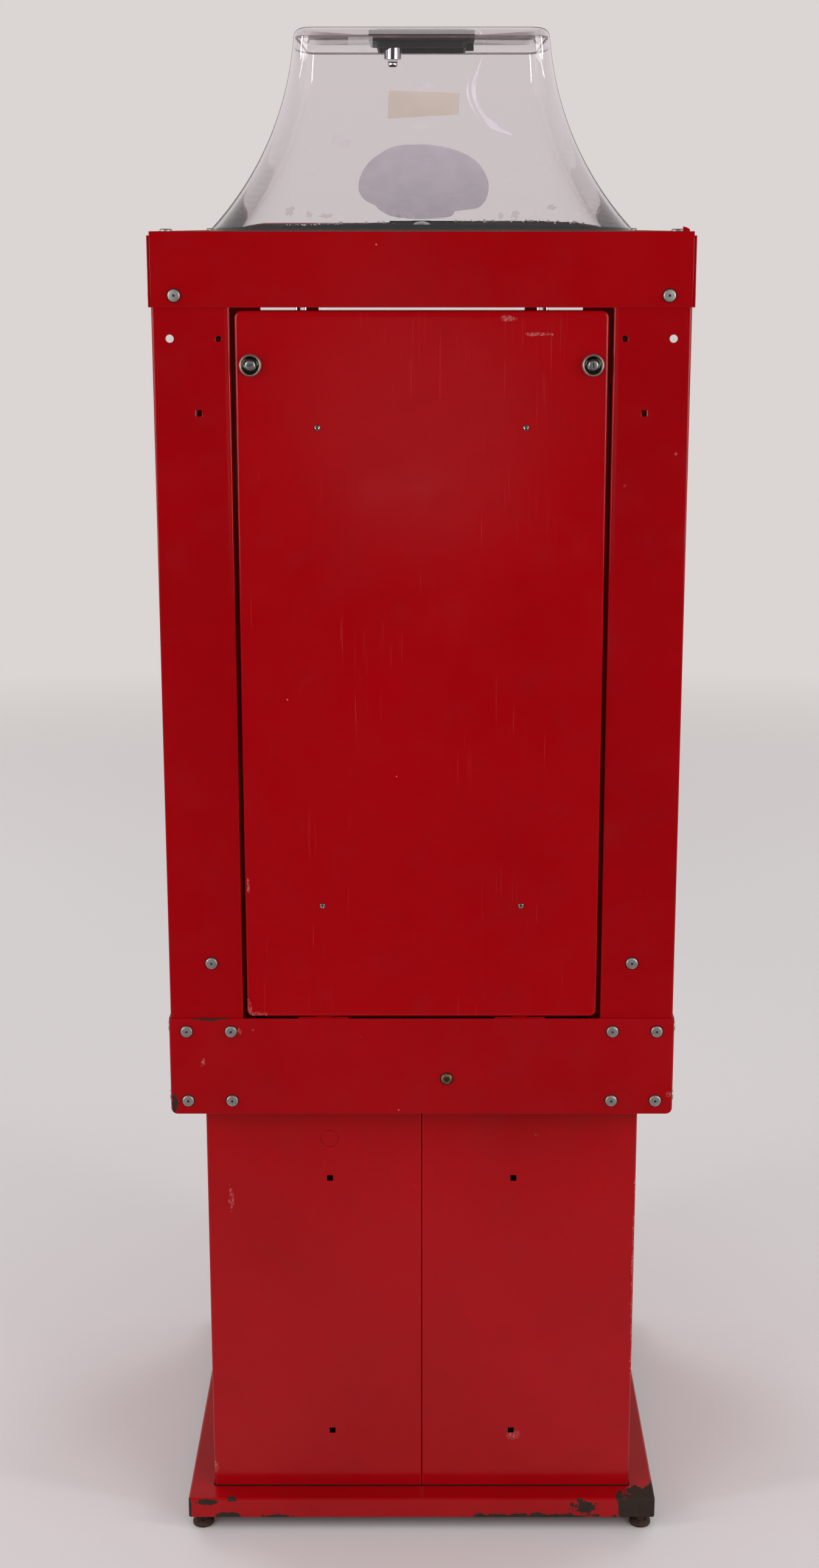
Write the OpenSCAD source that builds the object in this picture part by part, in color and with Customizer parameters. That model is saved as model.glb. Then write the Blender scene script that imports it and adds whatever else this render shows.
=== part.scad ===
// Tall square gumball vending machine: a clear hopper dome over a sheet-steel cabinet with a
// spiral ball track behind clear windows, on a hollow pedestal.
// Up is +Z and the floor is z = 0. The customer stands at -Y and the service door faces +Y.
// Right is the +X side, as seen by the customer.

/* [Cabinet] */
// Side of the square cabinet, over its corner posts
cab_w = 600; // [590:1:640]
// Thickness of the painted steel sheet
sheet = 2; // [1.5:0.5:2.5]
// Outside radius of the sheet's bends
bend_r = 3; // [2.8:0.1:4]
// Height of the lower band, which hides the coin works
band_h = 121; // [118:1:140]
// Height between the lower band and the collar
door_zone_h = 831; // [800:1:900]
// Height of the collar below the dome
collar_h = 82; // [76:1:100]
// Thickness of the collar's front and side skirt
skirt_t = 3; // [2:0.5:4]
// Drop of the skirt's top edge below the rear band's
skirt_drop = 4.5; // [1:0.5:6]
// Width of the lip turned in under each band
lip_w = 12; // [8:1:20]
// Length of the rear bands' wrap around the corners
wrap = 30; // [20:1:36]
// Radius of the rear band's lower corners
band_corner = 8; // [4:1:12]

/* [Corner posts] */
// Width of a rear column's face
col_face = 87; // [80:1:95]
// Depth of a rear column's two returns
col_return = 40; // [32:1:45]
// Width of a rear column's jamb, turned in behind the door's edge
jamb_w = 12; // [8:1:13]
// Front leg of a front post
post_front = 40; // [34:1:45]
// Side leg of a front post
post_side = 140; // [120:1:150]
// Centre of the outer round hole from the cabinet's side
hole_out_in = 20; // [14:1:24]
// Diameter of the outer round hole
hole_out_d = 9; // [6:0.5:10]
// Centre of the inner round hole from the column's inner edge
hole_in_in = 13; // [9:1:18]
// Diameter of the inner round hole
hole_in_d = 7; // [4:0.5:9]
// Both round holes lie this far below the collar
round_hole_drop = 34; // [20:1:60]
// The column's square hole lies this far below the collar
square_hole_drop = 116; // [90:1:150]
// The column's own bolt lies this far above the lower band
col_bolt_rise = 69; // [50:1:100]

/* [Windows] */
// Thickness of the clear windows
pane = 3; // [2:0.5:4]
// Length of window behind the collar
pane_top = 30; // [10:1:50]

/* [Base and pedestal] */
// Side of the square base pan
base_w = 590; // [570:1:610]
// Height of the base pan
base_h = 26; // [24:1:40]
// Height of the pan's underside above the floor
foot_h = 18; // [14:1:26]
// Diameter of a levelling foot's pad
foot_d = 27; // [20:1:30]
// Thickness of a levelling foot's pad
foot_pad_h = 8; // [5:1:10]
// Diameter of a levelling foot's stud
foot_stud_d = 10; // [8:1:12]
// Centre of a foot from the pan's side
foot_inset = 17; // [15:1:30]
// Side of the square pedestal
pedestal_w = 528; // [500:1:550]
// Height of the pedestal
pedestal_h = 524; // [450:1:560]
// Width of the pedestal's seam, floor and top flanges
ped_flange = 22; // [18:1:30]
// Side of the pedestal's square holes
ped_hole = 7.5; // [6:0.5:9]
// Square holes from the centre seam
ped_hole_x = 113; // [80:1:160]
// Upper square holes below the pedestal's top
ped_hole_drop = 102; // [60:1:140]
// Lower square holes above the pedestal's foot
ped_hole_rise = 78; // [50:1:120]
// Diameter of the cable knock-out
knockout_d = 22; // [16:1:28]
// Knock-out below the pedestal's top
knockout_drop = 50; // [40:1:70]

/* [Service door] */
// Gap between the door and each column
door_gap = 5; // [2:0.5:8]
// Gap between the door and the lower band
door_low_gap = 2; // [1:0.5:4]
// Gap between the door and the collar
door_top_gap = 5; // [2:0.5:8]
// Depth of the door pan's edges
door_depth = 20; // [14:1:24]
// Radius of the door's lower corners
door_corner = 8; // [4:1:12]
// Lock centre from the door's side edge
lock_in = 17; // [15:0.5:24]
// Lock centre below the door's top edge
lock_drop = 58; // [45:1:80]
// Diameter of a lock's polished rim
lock_rim_d = 25.3; // [22:0.1:28]
// Height of a lock's rim
lock_rim_h = 5.5; // [4:0.5:6]
// Diameter of a lock's barrel
lock_body_d = 19; // [16:0.5:19]
// Diameter of a lock's turning plug
lock_plug_d = 12; // [10:0.5:13]
// Length of a lock's barrel behind the door's face
lock_len = 24; // [20:1:26]
// Reach of a door lock's cam from its axis
cam_reach = 20; // [16:0.5:20.5]
// Width of a door lock's cam
cam_w = 12; // [10:0.5:13]
// Thickness of a lock's cam
cam_t = 2.5; // [2:0.5:3]
// Rivets and stiffeners from the centre line
rivet_x = 117; // [90:1:130]
// Upper rivets below the door's top edge
rivet_drop = 127; // [100:1:160]
// Lower rivets above the door's bottom edge
rivet_rise = 138; // [100:1:180]
// Diameter of a rivet's head
rivet_d = 6.5; // [5:0.5:8]
// Width of a door stiffener
stiff_w = 24; // [20:1:30]
// Depth of a door stiffener
stiff_depth = 12; // [8:1:16]

/* [Dome and fill lid] */
// Height of the dome over the collar
dome_h = 227; // [210:1:250]
// Ledge between the dome's foot and the cabinet's side
dome_ledge = 54.4; // [50:0.1:60]
// Drop from the dome's top to the start of the flare
dome_neck_drop = 21.5; // [18:0.5:28]
// Radius of the flare's curve, seen from the side
flare_r = 370; // [350:1:420]
// Lean of the flare at its upper end, in degrees
flare_a0 = 7; // [4:0.5:10]
// Radius of the dome's top rim
rim_r = 11; // [8:0.5:14]
// Wall of the dome
dome_wall = 4; // [3:0.5:5]
// Corner radius of the dome at its top
dome_corner_top = 22; // [20:1:30]
// Corner radius of the dome at its foot
dome_corner_low = 60; // [45:1:75]
// Width of the dome's clamped flange
dome_flange_w = 16; // [12:1:20]
// Thickness of the dome's clamped flange
flange_t = 3; // [2.5:0.5:4]
// Thickness of the gasket under the flange
gasket_t = 2; // [1:0.5:3]
// Side of the square fill lid
lid_w = 139; // [135:1:150]
// Thickness of the lid's flange
lid_t = 3; // [2:0.5:5]
// Side of the square fill mouth
mouth_w = 126.5; // [120:0.5:130]
// Depth of the lid's skirt inside the mouth
lid_skirt = 19; // [16:1:20]
// Depth of the skirt's wider upper step
lid_step_h = 12; // [8:1:13]
// Side of the skirt's narrower lower step
lid_step_w = 106; // [98:1:112]
// Width of the lid's fixed catch, across from its lock
lid_catch_w = 18; // [12:1:24]
// Lid lock from the lid's centre
lid_lock_x = 35; // [25:1:40]
// Diameter of the lid lock's barrel
lid_lock_d = 20; // [16:0.5:22]
// Length of the lid lock's barrel below the plateau
lid_lock_len = 28; // [24:1:30]
// Reach of the lid lock's cam from its axis
lid_cam = 40; // [34:1:44]
// Rise of the lid cam's joggle
lid_joggle = 7; // [4:0.5:8]

/* [Dispenser] */
// Diameter of the largest gumball
ball_d = 25.4; // [22:0.1:27]
// Module of the wheel's ring gear and its pinion
gear_m = 3; // [3:0.1:3.1]
// Teeth on the wheel's ring gear
ring_teeth = 128; // [128:1:130]
// Teeth on the drive rod's pinion
pinion_teeth = 16; // [15:1:17]
// Face width of the ring gear
gear_w = 10; // [8:1:12]
// Backlash at the pitch circle
backlash = 0.5; // [0.4:0.1:0.7]
// Ball pockets in the wheel
pockets = 16; // [12:1:16]
// Diameter of a ball pocket
pocket_d = 32; // [29:0.5:34]
// Pocket circle and track centre line
ball_r = 150; // [146:1:152]
// Diameter of the wheel's spindle
spindle_d = 16; // [12:1:20]
// Height of the wheel's cone
cone_h = 6; // [4:1:8]
// Height of the wheel chamber
chamber_h = 25; // [25:1:28]
// Direction of the drive rod from the centre, in degrees
rod_angle = -49; // [-51:0.5:-47]
// Diameter of the drive rod
rod_d = 10; // [8:0.5:12]
// Module of the right-angle gears
face_m = 2.5; // [2.4:0.1:2.6]
// Teeth on the crown gear
crown_teeth = 24; // [24:2:24]
// Teeth on the coin shaft's gear
spur_teeth = 12; // [12:1:12]
// Face width of the coin shaft's gear
spur_w = 6; // [5:0.5:6]

/* [Track] */
// Clear width of the ball lane
lane_w = 44; // [40:1:46]
// Wall of the lane
lane_t = 2; // [1.5:0.5:2.5]
// Height of the lane's outer wall
lane_out_h = 26; // [20:1:30]
// Height of the lane's inner wall
lane_in_h = 16; // [12:1:22]
// Turns in each of the three track sections
turns = 2; // [1:1:2]
// Track's top below the wheel deck
track_drop = 94; // [80:1:110]
// Track's end above the display floor
track_rise = 22; // [20:1:40]
// Diameter of the four support rods
stay_d = 8; // [6:0.5:10]
// Direction of the first support rod, in degrees
stay_angle = 35.5; // [32:0.5:38]
// Drop of the display floor below the door zone
floor_drop = 5; // [4:0.5:8]

/* [Coin works and chute] */
// Diameter of the coin shaft
shaft_d = 10; // [8:0.5:12]
// Width of the coin plate
coin_w = 84; // [80:1:92]
// Height of the coin plate
coin_h = 104; // [98:1:110]
// Thickness of the coin plate
coin_t = 4; // [3:0.5:6]
// Width of the coin mechanism's body
mech_w = 70; // [60:1:72]
// Gap between the coin mechanism and the gear on its shaft
mech_gap = 20; // [10:1:30]
// Span of the coin handle
handle_span = 66; // [56:1:70]
// Reach of the handle in front of the coin plate
handle_reach = 34; // [28:1:40]
// Chute centre from the middle, towards the left
chute_x = 32; // [28:1:36]
// Slope of the chute's floor, in degrees
chute_slope = 20; // [16:1:22]
// Depth of the chute's upper end below the display floor
chute_drop = 28; // [26:1:32]
// Length of the cash tray
tray_len = 180; // [120:1:200]
// Width of the cash tray
tray_w = 125; // [90:1:130]
// Height of the cash tray
tray_h = 34; // [25:1:35]

/* [Fasteners and clearances] */
// Diameter of a carriage bolt
bolt_d = 6.2; // [5:0.1:6.3]
// Diameter of a carriage bolt's head
bolt_head_d = 14.2; // [12:0.1:15]
// Height of a carriage bolt's head
bolt_head_h = 2.7; // [2:0.1:3.5]
// Side of the square holes for carriage bolts
bolt_hole = 7; // [6.8:0.1:8]
// Rear band's single screw, from the centre line towards the left
band_screw_x = 30; // [20:1:60]
// Height of that screw above the band's lower edge
band_screw_rise = 45; // [35:1:60]
// Diameter of that screw's round head
band_screw_d = 14; // [12:0.5:16]
// Radial clearance of a turning shaft
run_gap = 0.05; // [0.02:0.01:0.09]
// Clearance of a piece that lifts out or is slid in
slip = 0.5; // [0.3:0.1:1]

/* [Hidden] */
$fn = 48;

half = cab_w / 2;
z_base = foot_h;
z_ped = z_base + base_h;
z_floor = z_ped + pedestal_h;
z_band = z_floor - sheet;
z_zone = z_band + band_h;
z_collar = z_zone + door_zone_h;
z_top = z_collar + collar_h;
z_deck = z_top - 2 * sheet - flange_t - gasket_t;
z_wheel_deck = z_deck - chamber_h;
z_display = z_zone - floor_drop - sheet;
front_reach = half + sheet + coin_t + handle_reach;
rear_reach = half + lock_rim_h;
centre_y = (front_reach - rear_reach) / 2;
red = [0.62, 0.04, 0.06];
dark = [0.08, 0.08, 0.09];
steel = [0.72, 0.72, 0.74];
chrome = [0.82, 0.82, 0.84];
clear = [0.85, 0.88, 0.9, 0.35];
white = [0.92, 0.91, 0.88];

// Points of an arc about (cx, cy) from angle a0 to a1
function arc_pts(cx, cy, r, a0, a1, n) =
  [for (i = [0:n]) let (a = a0 + (a1 - a0) * i / n) [cx + r * cos(a), cy + r * sin(a)]];
// Outline of a rounded rectangle between two corners
function rounded(x0, y0, x1, y1, r, n = 5) = concat(
  arc_pts(x1 - r, y1 - r, r, 0, 90, n), arc_pts(x0 + r, y1 - r, r, 90, 180, n),
  arc_pts(x0 + r, y0 + r, r, 180, 270, n), arc_pts(x1 - r, y0 + r, r, 270, 360, n));
// Outline of a rounded square of side w about the centre
function square_pts(w, r, n = 5) = rounded(-w / 2, -w / 2, w / 2, w / 2, r, n);
// Section of a bent channel: its web lies at y1 and its legs end at y0
function channel(x0, x1, y0, y1, t, r) = concat(
  [[x0, y0]], arc_pts(x0 + r, y1 - r, r, 180, 90, 4), arc_pts(x1 - r, y1 - r, r, 90, 0, 4),
  [[x1, y0], [x1 - t, y0]], arc_pts(x1 - r, y1 - r, r - t, 0, 90, 4),
  arc_pts(x0 + r, y1 - r, r - t, 90, 180, 4), [[x0 + t, y0]]);
// Section of a bent angle: its legs meet at (x1, y1)
function angle_section(x0, x1, y0, y1, t, r) = concat(
  [[x0, y1]], arc_pts(x1 - r, y1 - r, r, 90, 0, 4), [[x1, y0], [x1 - t, y0]],
  arc_pts(x1 - r, y1 - r, r - t, 0, 90, 4), [[x0, y1 - t]]);

// Moves a piece from the cabinet's axis to the middle of the whole machine's reach
module in_frame() translate([0, centre_y, 0]) children();
// Turns a piece that is drawn along +Z to point along +Y
module along_y() rotate([-90, 0, 0]) children();
// Turns a piece that is drawn along +Z to point along +X
module along_x() rotate([0, 90, 0]) children();
// Puts a copy on each side of the cabinet's middle plane
module both_sides() {
  children();
  mirror([1, 0, 0]) children();
}
// Places a piece drawn along +Z on the rear face, at height z
module on_rear(x, y, z) translate([x, y, z]) along_y() children();

// Square hole for a carriage bolt, along Z through the origin
module bolt_cut(side = bolt_hole) cube([side, side, 6 * sheet + 2 * skirt_t], center = true);

// Carriage bolt with its nut: the head sits on z = 0 and the nut is at z = -grip
module carriage_bolt(grip) {
  cap_r = (pow(bolt_head_d / 2, 2) + pow(bolt_head_h, 2)) / (2 * bolt_head_h);
  nut_h = 5;
  intersection() {
    translate([0, 0, bolt_head_h - cap_r]) sphere(cap_r);
    cylinder(d = bolt_head_d + 4, h = bolt_head_h + 1, $fn = 32);
  }
  neck = bolt_d + 0.1;
  translate([-neck / 2, -neck / 2, -grip]) cube([neck, neck, grip + 0.2]);
  translate([0, 0, -grip - nut_h - 2]) cylinder(d = bolt_d, h = nut_h + 2.5, $fn = 24);
  translate([0, 0, -grip - nut_h]) cylinder(r = 6.35, h = nut_h, $fn = 6);
}

// Base and pedestal

foot_at = base_w / 2 - foot_inset;
module at_feet() for (x = [-1, 1], y = [-1, 1]) translate([x * foot_at, y * foot_at, 0]) children();

module leveling_feet() color(chrome) in_frame() at_feet() {
  edge = 1.5;
  rotate_extrude() polygon([[0, 0], [foot_d / 2 - edge, 0], [foot_d / 2, edge],
    [foot_d / 2, foot_pad_h - 3], [foot_d / 2 - 5, foot_pad_h], [0, foot_pad_h]]);
  translate([0, 0, foot_pad_h - 0.5]) cylinder(d = foot_stud_d, h = foot_nut_z - foot_pad_h + 8);
  translate([0, 0, foot_pad_h - 0.5]) cylinder(r = foot_stud_d * 0.85, h = 5, $fn = 6);
}

foot_nut_h = 12;
foot_nut_z = z_ped - sheet - foot_nut_h;
module base_pan() color(red) in_frame() {
  difference() {
    translate([0, 0, z_base]) linear_extrude(base_h) polygon(square_pts(base_w, bend_r));
    translate([0, 0, z_base - 1]) linear_extrude(base_h - sheet + 1)
      polygon(square_pts(base_w - 2 * sheet, bend_r - sheet));
    for (x = [-1, 1], y = [-1, 1])
      translate([x * ped_bolt_x, y * ped_bolt_y, z_ped]) bolt_cut();
  }
  at_feet() translate([0, 0, foot_nut_z]) difference() {
    cylinder(r = foot_stud_d, h = foot_nut_h, $fn = 6);
    translate([0, 0, -1]) cylinder(d = foot_stud_d + 0.4, h = foot_nut_h - 1);
  }
}

ped_bolt_x = ped_hole_x + 20;
ped_bolt_y = pedestal_w / 2 - sheet - 10;
seam_bolt_z = [z_ped + 150, z_ped + 370];
// Half shell on the +X side of the seam, with flanges turned in all round
module pedestal_shell() {
  h = pedestal_w / 2;
  difference() {
    translate([0, 0, z_ped]) linear_extrude(pedestal_h) difference() {
      polygon(square_pts(pedestal_w, bend_r));
      polygon(square_pts(pedestal_w - 2 * sheet, bend_r - sheet));
      translate([-pedestal_w, -pedestal_w]) square([pedestal_w, 2 * pedestal_w]);
    }
    for (y = [-1, 1]) {
      for (z = [z_floor - ped_hole_drop, z_ped + ped_hole_rise])
        on_rear(ped_hole_x, y * h, z) bolt_cut(ped_hole);
    }
  }
  for (y = [-1, 1], z = [z_ped, z_floor - sheet]) difference() {
    translate([sheet, y > 0 ? h - sheet - ped_flange : sheet - h, z])
      cube([h - 2 * sheet, ped_flange, sheet]);
    translate([ped_bolt_x, y * ped_bolt_y, z]) bolt_cut();
  }
  for (y = [-1, 1]) difference() {
    translate([0, y > 0 ? h - sheet - ped_flange : sheet - h, z_ped])
      cube([sheet, ped_flange, pedestal_h]);
    for (z = seam_bolt_z) translate([0, y * ped_bolt_y, z]) along_x() bolt_cut();
  }
}

module right_pedestal_shell() color(red) in_frame() difference() {
  pedestal_shell();
  // Shallow ring pressed round the cable knock-out
  on_rear(ped_hole_x, pedestal_w / 2 - 0.5, z_floor - knockout_drop) difference() {
    cylinder(d = knockout_d, h = 2);
    translate([0, 0, -1]) cylinder(d = knockout_d - 1.6, h = 4);
  }
}
module left_pedestal_shell() color(red) in_frame() mirror([1, 0, 0]) difference() {
  pedestal_shell();
  // Small dimple beside the seam
  on_rear(ped_hole_x + 28, pedestal_w / 2 - 0.5, z_floor - knockout_drop + 6) cylinder(d = 4, h = 2);
}

module cabinet_floor() color(red) in_frame() difference() {
  translate([slip - half, slip - half, z_floor]) cube([cab_w - 2 * slip, cab_w - 2 * slip, sheet]);
  for (x = [-1, 1], y = [-1, 1]) translate([x * ped_bolt_x, y * ped_bolt_y, z_floor]) bolt_cut();
}

// Cabinet

bolt_out = 19;
bolt_in = 72;
band_bolt_z = [z_zone - 16, z_band + 17];
collar_bolt_z = z_collar + 13;
collar_bolt_in = 26;
wall_out = half + sheet;
rear_band_edge = wall_out - wrap;
module lower_skirt() color(red) in_frame() difference() {
  union() {
    translate([0, 0, z_band]) linear_extrude(band_h) mirror([0, 1])
      polygon(channel(-wall_out, wall_out, -rear_band_edge, wall_out, sheet, bend_r));
    translate([0, 0, z_band]) linear_extrude(sheet) mirror([0, 1])
      polygon(channel(-wall_out, wall_out, -rear_band_edge, wall_out, lip_w, lip_w + 1));
  }
  for (x = [-1, 1], z = band_bolt_z) on_rear(x * (half - bolt_out), -wall_out, z) bolt_cut();
  for (y = [-(half - bolt_out), -(half - bolt_in)], z = band_bolt_z)
    translate([0, y, z]) both_sides() translate([wall_out, 0, 0]) along_x() bolt_cut();
  translate([rod_x - mech_w / 2 - slip, -wall_out - 1, shaft_z - mech_h / 2 - slip])
    cube([mech_w + 2 * slip, sheet + 2, mech_h + 2 * slip]);
  translate([-chute_x - chute_in / 2, -wall_out - 1, chute_mouth_z])
    cube([chute_in, sheet + 2, chute_mouth_h]);
  for (x = [-1, 1]) on_rear(-chute_x + x * (flap_frame_w / 2 - 6), -wall_out, chute_mouth_z - 6)
    cylinder(d = 4, h = 20, center = true);
}

module rear_lower_band() color(red) in_frame() difference() {
  intersection() {
    union() {
      translate([0, 0, z_band]) linear_extrude(band_h)
        polygon(channel(-wall_out, wall_out, rear_band_edge, wall_out, sheet, bend_r));
      translate([sheet / 2 - wall_out, wall_out - lip_w, z_band])
        cube([2 * wall_out - sheet, lip_w - sheet / 2, sheet]);
    }
    translate([0, wall_out + 1, z_band]) rotate([90, 0, 0]) linear_extrude(wrap + 2)
      polygon(rounded(-wall_out, 0, wall_out, band_h + 2 * band_corner, band_corner));
  }
  for (x = [half - bolt_out, half - bolt_in], z = band_bolt_z)
    both_sides() on_rear(x, wall_out, z) bolt_cut();
  for (z = band_bolt_z)
    both_sides() translate([wall_out, half - bolt_out, z]) along_x() bolt_cut();
  on_rear(-band_screw_x, wall_out, band_screw_z)
    cylinder(d = bolt_d + 0.2, h = 6 * sheet, center = true);
}

z_post = z_floor + sheet;
// Rear column on the +X side, open towards the front, with a jamb behind the door
module rear_column() difference() {
  union() {
    translate([0, 0, z_post]) linear_extrude(z_deck - z_post)
      polygon(channel(half - col_face, half, half - col_return, half, sheet, bend_r));
    translate([half - col_face - jamb_w, half - col_return, z_post])
      cube([jamb_w + sheet, sheet, z_deck - z_post]);
  }
  on_rear(half - hole_out_in, half, z_collar - round_hole_drop)
    cylinder(d = hole_out_d, h = 4 * sheet, center = true);
  on_rear(half - col_face + hole_in_in, half, z_collar - round_hole_drop)
    cylinder(d = hole_in_d, h = 4 * sheet, center = true);
  on_rear(half - col_face / 2 - 7, half, z_collar - square_hole_drop) bolt_cut();
  on_rear(half - col_face / 2 - 7, half, z_zone + col_bolt_rise) bolt_cut();
  on_rear(half - collar_bolt_in, half, collar_bolt_z) bolt_cut();
  for (x = [half - bolt_out, half - bolt_in], z = band_bolt_z) on_rear(x, half, z) bolt_cut();
  for (z = band_bolt_z) translate([half, half - bolt_out, z]) along_x() bolt_cut();
  translate([half, half - collar_bolt_in, collar_bolt_z]) along_x() bolt_cut();
}
module right_rear_column() color(red) in_frame() rear_column();
module left_rear_column() color(red) in_frame() mirror([1, 0, 0]) rear_column();

// Front post on the +X side
module front_post() difference() {
  translate([0, 0, z_post]) linear_extrude(z_deck - z_post) mirror([0, 1])
    polygon(angle_section(half - post_front, half, half - post_side, half, sheet, bend_r));
  for (z = band_bolt_z) {
    on_rear(half - bolt_out, -half, z) bolt_cut();
    for (y = [half - bolt_out, half - bolt_in]) translate([half, -y, z]) along_x() bolt_cut();
  }
  on_rear(half - collar_bolt_in, -half, collar_bolt_z) bolt_cut();
  translate([half, -(half - collar_bolt_in), collar_bolt_z]) along_x() bolt_cut();
}
module right_front_post() color(red) in_frame() front_post();
module left_front_post() color(red) in_frame() mirror([1, 0, 0]) front_post();

z_pane = z_display + sheet;
pane_h = z_collar + pane_top - z_pane;
inside = half - sheet;
// The clear panes stand on the display floor, against the posts' inner faces
bolt_room = 14;
module front_window() color(clear) in_frame() difference() {
  w = 2 * (inside - pane - 1);
  translate([-w / 2, -inside, z_pane]) cube([w, pane, pane_h]);
  for (x = [-1, 1]) on_rear(x * (half - collar_bolt_in), -inside, collar_bolt_z)
    cylinder(d = bolt_room, h = 4 * pane, center = true);
}
module side_window() difference() {
  y0 = -inside + pane + 1;
  translate([inside - pane, y0, z_pane]) cube([pane, inside - col_inset - y0, pane_h]);
  for (y = [-1, 1]) translate([inside, y * (half - collar_bolt_in), collar_bolt_z]) along_x()
    cylinder(d = bolt_room, h = 4 * pane, center = true);
}
col_inset = 6;
module right_window() color(clear) in_frame() side_window();
module left_window() color(clear) in_frame() mirror([1, 0, 0]) side_window();

rail_w = 20;
rail_x = inside;
module floor_rails() color(steel) in_frame() both_sides() difference() {
  translate([0, inside - 8, 0]) rotate([90, 0, 0]) linear_extrude(2 * inside - 12)
    polygon([[rail_x, z_display], [rail_x - rail_w, z_display],
      [rail_x - rail_w, z_display - sheet], [rail_x - sheet, z_display - sheet],
      [rail_x - sheet, z_display - rail_w], [rail_x, z_display - rail_w]]);
  for (y = [half - bolt_out, -(half - bolt_out), -(half - bolt_in)])
    translate([half, y, band_bolt_z[0]]) along_x() bolt_cut();
}

module display_floor() color(red) in_frame() difference() {
  edge = inside - 0.3;
  union() {
    translate([-edge, -edge, z_display]) cube([2 * edge, edge + half - col_return - slip, sheet]);
    translate([-hatch_w / 2 - 8, 0, z_display])
      cube([hatch_w + 16, half - door_depth - 4, sheet]);
  }
  translate([-hatch_w / 2, half - door_depth - hatch_d - 12, z_display - 1])
    cube([hatch_w, hatch_d, sheet + 2]);
  translate([-chute_x - ball_hole / 2, -ball_r - ball_hole / 2, z_display - 1])
    cube([ball_hole, ball_hole, sheet + 2]);
  translate([rod_x, rod_y, z_display - 1]) cylinder(d = bush_d, h = sheet + 2);
}
hatch_w = 360;
hatch_d = 80;
ball_hole = lane_w;

// Collar, hopper deck and dome

module rear_collar_band() color(red) in_frame() difference() {
  translate([-half, half, z_collar]) cube([cab_w, sheet, collar_h]);
  both_sides() on_rear(half - collar_bolt_in, wall_out, collar_bolt_z) bolt_cut();
}

skirt_out = half + skirt_t;
module collar_skirt() color(red) in_frame() difference() {
  translate([0, 0, z_collar]) linear_extrude(collar_h - skirt_drop) mirror([0, 1])
    polygon(channel(-skirt_out, skirt_out, -half, skirt_out, skirt_t, skirt_t + 1));
  for (x = [-1, 1]) on_rear(x * (half - collar_bolt_in), -half, collar_bolt_z) bolt_cut();
  for (y = [-1, 1]) both_sides()
    translate([half, y * (half - collar_bolt_in), collar_bolt_z]) along_x() bolt_cut();
}

top_bolt_at = half - 17;
gap_r = 4;
wheel_r = gear_m * (ring_teeth + 2) / 2;
module hopper_deck() color(dark) in_frame() difference() {
  translate([slip - half, slip - half, z_deck]) cube([cab_w - 2 * slip, cab_w - 2 * slip, sheet]);
  translate([0, 0, z_deck - 1]) cylinder(r = wheel_r + gap_r, h = sheet + 2, $fn = 96);
  for (x = [-1, 1], y = [-1, 1]) translate([x * top_bolt_at, y * top_bolt_at, z_deck]) bolt_cut();
}

frame_low = z_deck + sheet;
module top_frame() color(red) in_frame() {
  w = cab_w - 2 * slip;
  difference() {
    translate([-w / 2, -w / 2, frame_low]) cube([w, w, z_top - frame_low]);
    translate([-w / 2 + sheet, -w / 2 + sheet, frame_low - 1])
      cube([w - 2 * sheet, w - 2 * sheet, z_top - frame_low - sheet + 1]);
    translate([0, 0, z_top - 2 * sheet]) linear_extrude(3 * sheet)
      polygon(square_pts(2 * (dome_foot + 6), dome_corner_low + 6, 8));
    for (x = [-1, 1], y = [-1, 1]) translate([x * top_bolt_at, y * top_bolt_at, z_top]) bolt_cut();
  }
}

z_flange = frame_low + gasket_t;
dome_z = z_top + dome_h;
neck_z = dome_z - dome_neck_drop;
flare_cz = neck_z + flare_r * sin(flare_a0);
flare_z = z_flange + flange_t;
flare_a1 = asin((flare_cz - flare_z) / flare_r);
// Half-widths of the dome's outside, where it meets the flange and below its top rim
dome_foot = half - dome_ledge;
flare_cx = dome_foot + flare_r * cos(flare_a1);
neck = flare_cx - flare_r * cos(flare_a0);
flange_half = dome_foot + dome_flange_w;
flare_steps = 12;
// Levels of the dome's wall at depth d below its outside, each [half-width, height, corner radius]
function flare_levels(d) = [for (i = [0:flare_steps])
  let (f = i / flare_steps, a = flare_a1 + (flare_a0 - flare_a1) * f, r = flare_r + d)
  [flare_cx - r * cos(a), flare_cz - r * sin(a),
   dome_corner_low + (dome_corner_top - dome_corner_low) * f - d]];
function rim_levels(d) = [for (a = [0:22.5:90])
  [neck - 1.2 - rim_r + (rim_r - d) * cos(a), dome_z - rim_r + (rim_r - d) * sin(a),
   dome_corner_top - d - (rim_r - d) * (1 - cos(a)) * 0.5]];
function backwards(v) = [for (i = [len(v) - 1:-1:0]) v[i]];
dome_levels = concat(
  [[flange_half, z_flange, dome_corner_low + 6], [flange_half, flare_z, dome_corner_low + 6]],
  flare_levels(0), rim_levels(0), [[mouth_w / 2, dome_z, 9], [mouth_w / 2, dome_z - dome_wall, 9]],
  backwards(rim_levels(dome_wall)), backwards(flare_levels(dome_wall)),
  [[dome_foot - dome_wall, z_flange, dome_corner_low]]);
corner_steps = 8;
ring_n = 4 * (corner_steps + 1);
// Points of one level: a rounded square
function level_ring(v) = [for (p = square_pts(2 * v[0], v[2], corner_steps)) [p[0], p[1], v[1]]];
module dome() color(clear) in_frame() {
  m = len(dome_levels);
  polyhedron(points = [for (v = dome_levels) each level_ring(v)],
    faces = [for (j = [0:m - 1], i = [0:ring_n - 1])
      let (a = j * ring_n + i, b = j * ring_n + (i + 1) % ring_n,
        c = ((j + 1) % m) * ring_n + (i + 1) % ring_n, d = ((j + 1) % m) * ring_n + i)
      each [[a, c, b], [a, d, c]]], convexity = 6);
}

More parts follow.
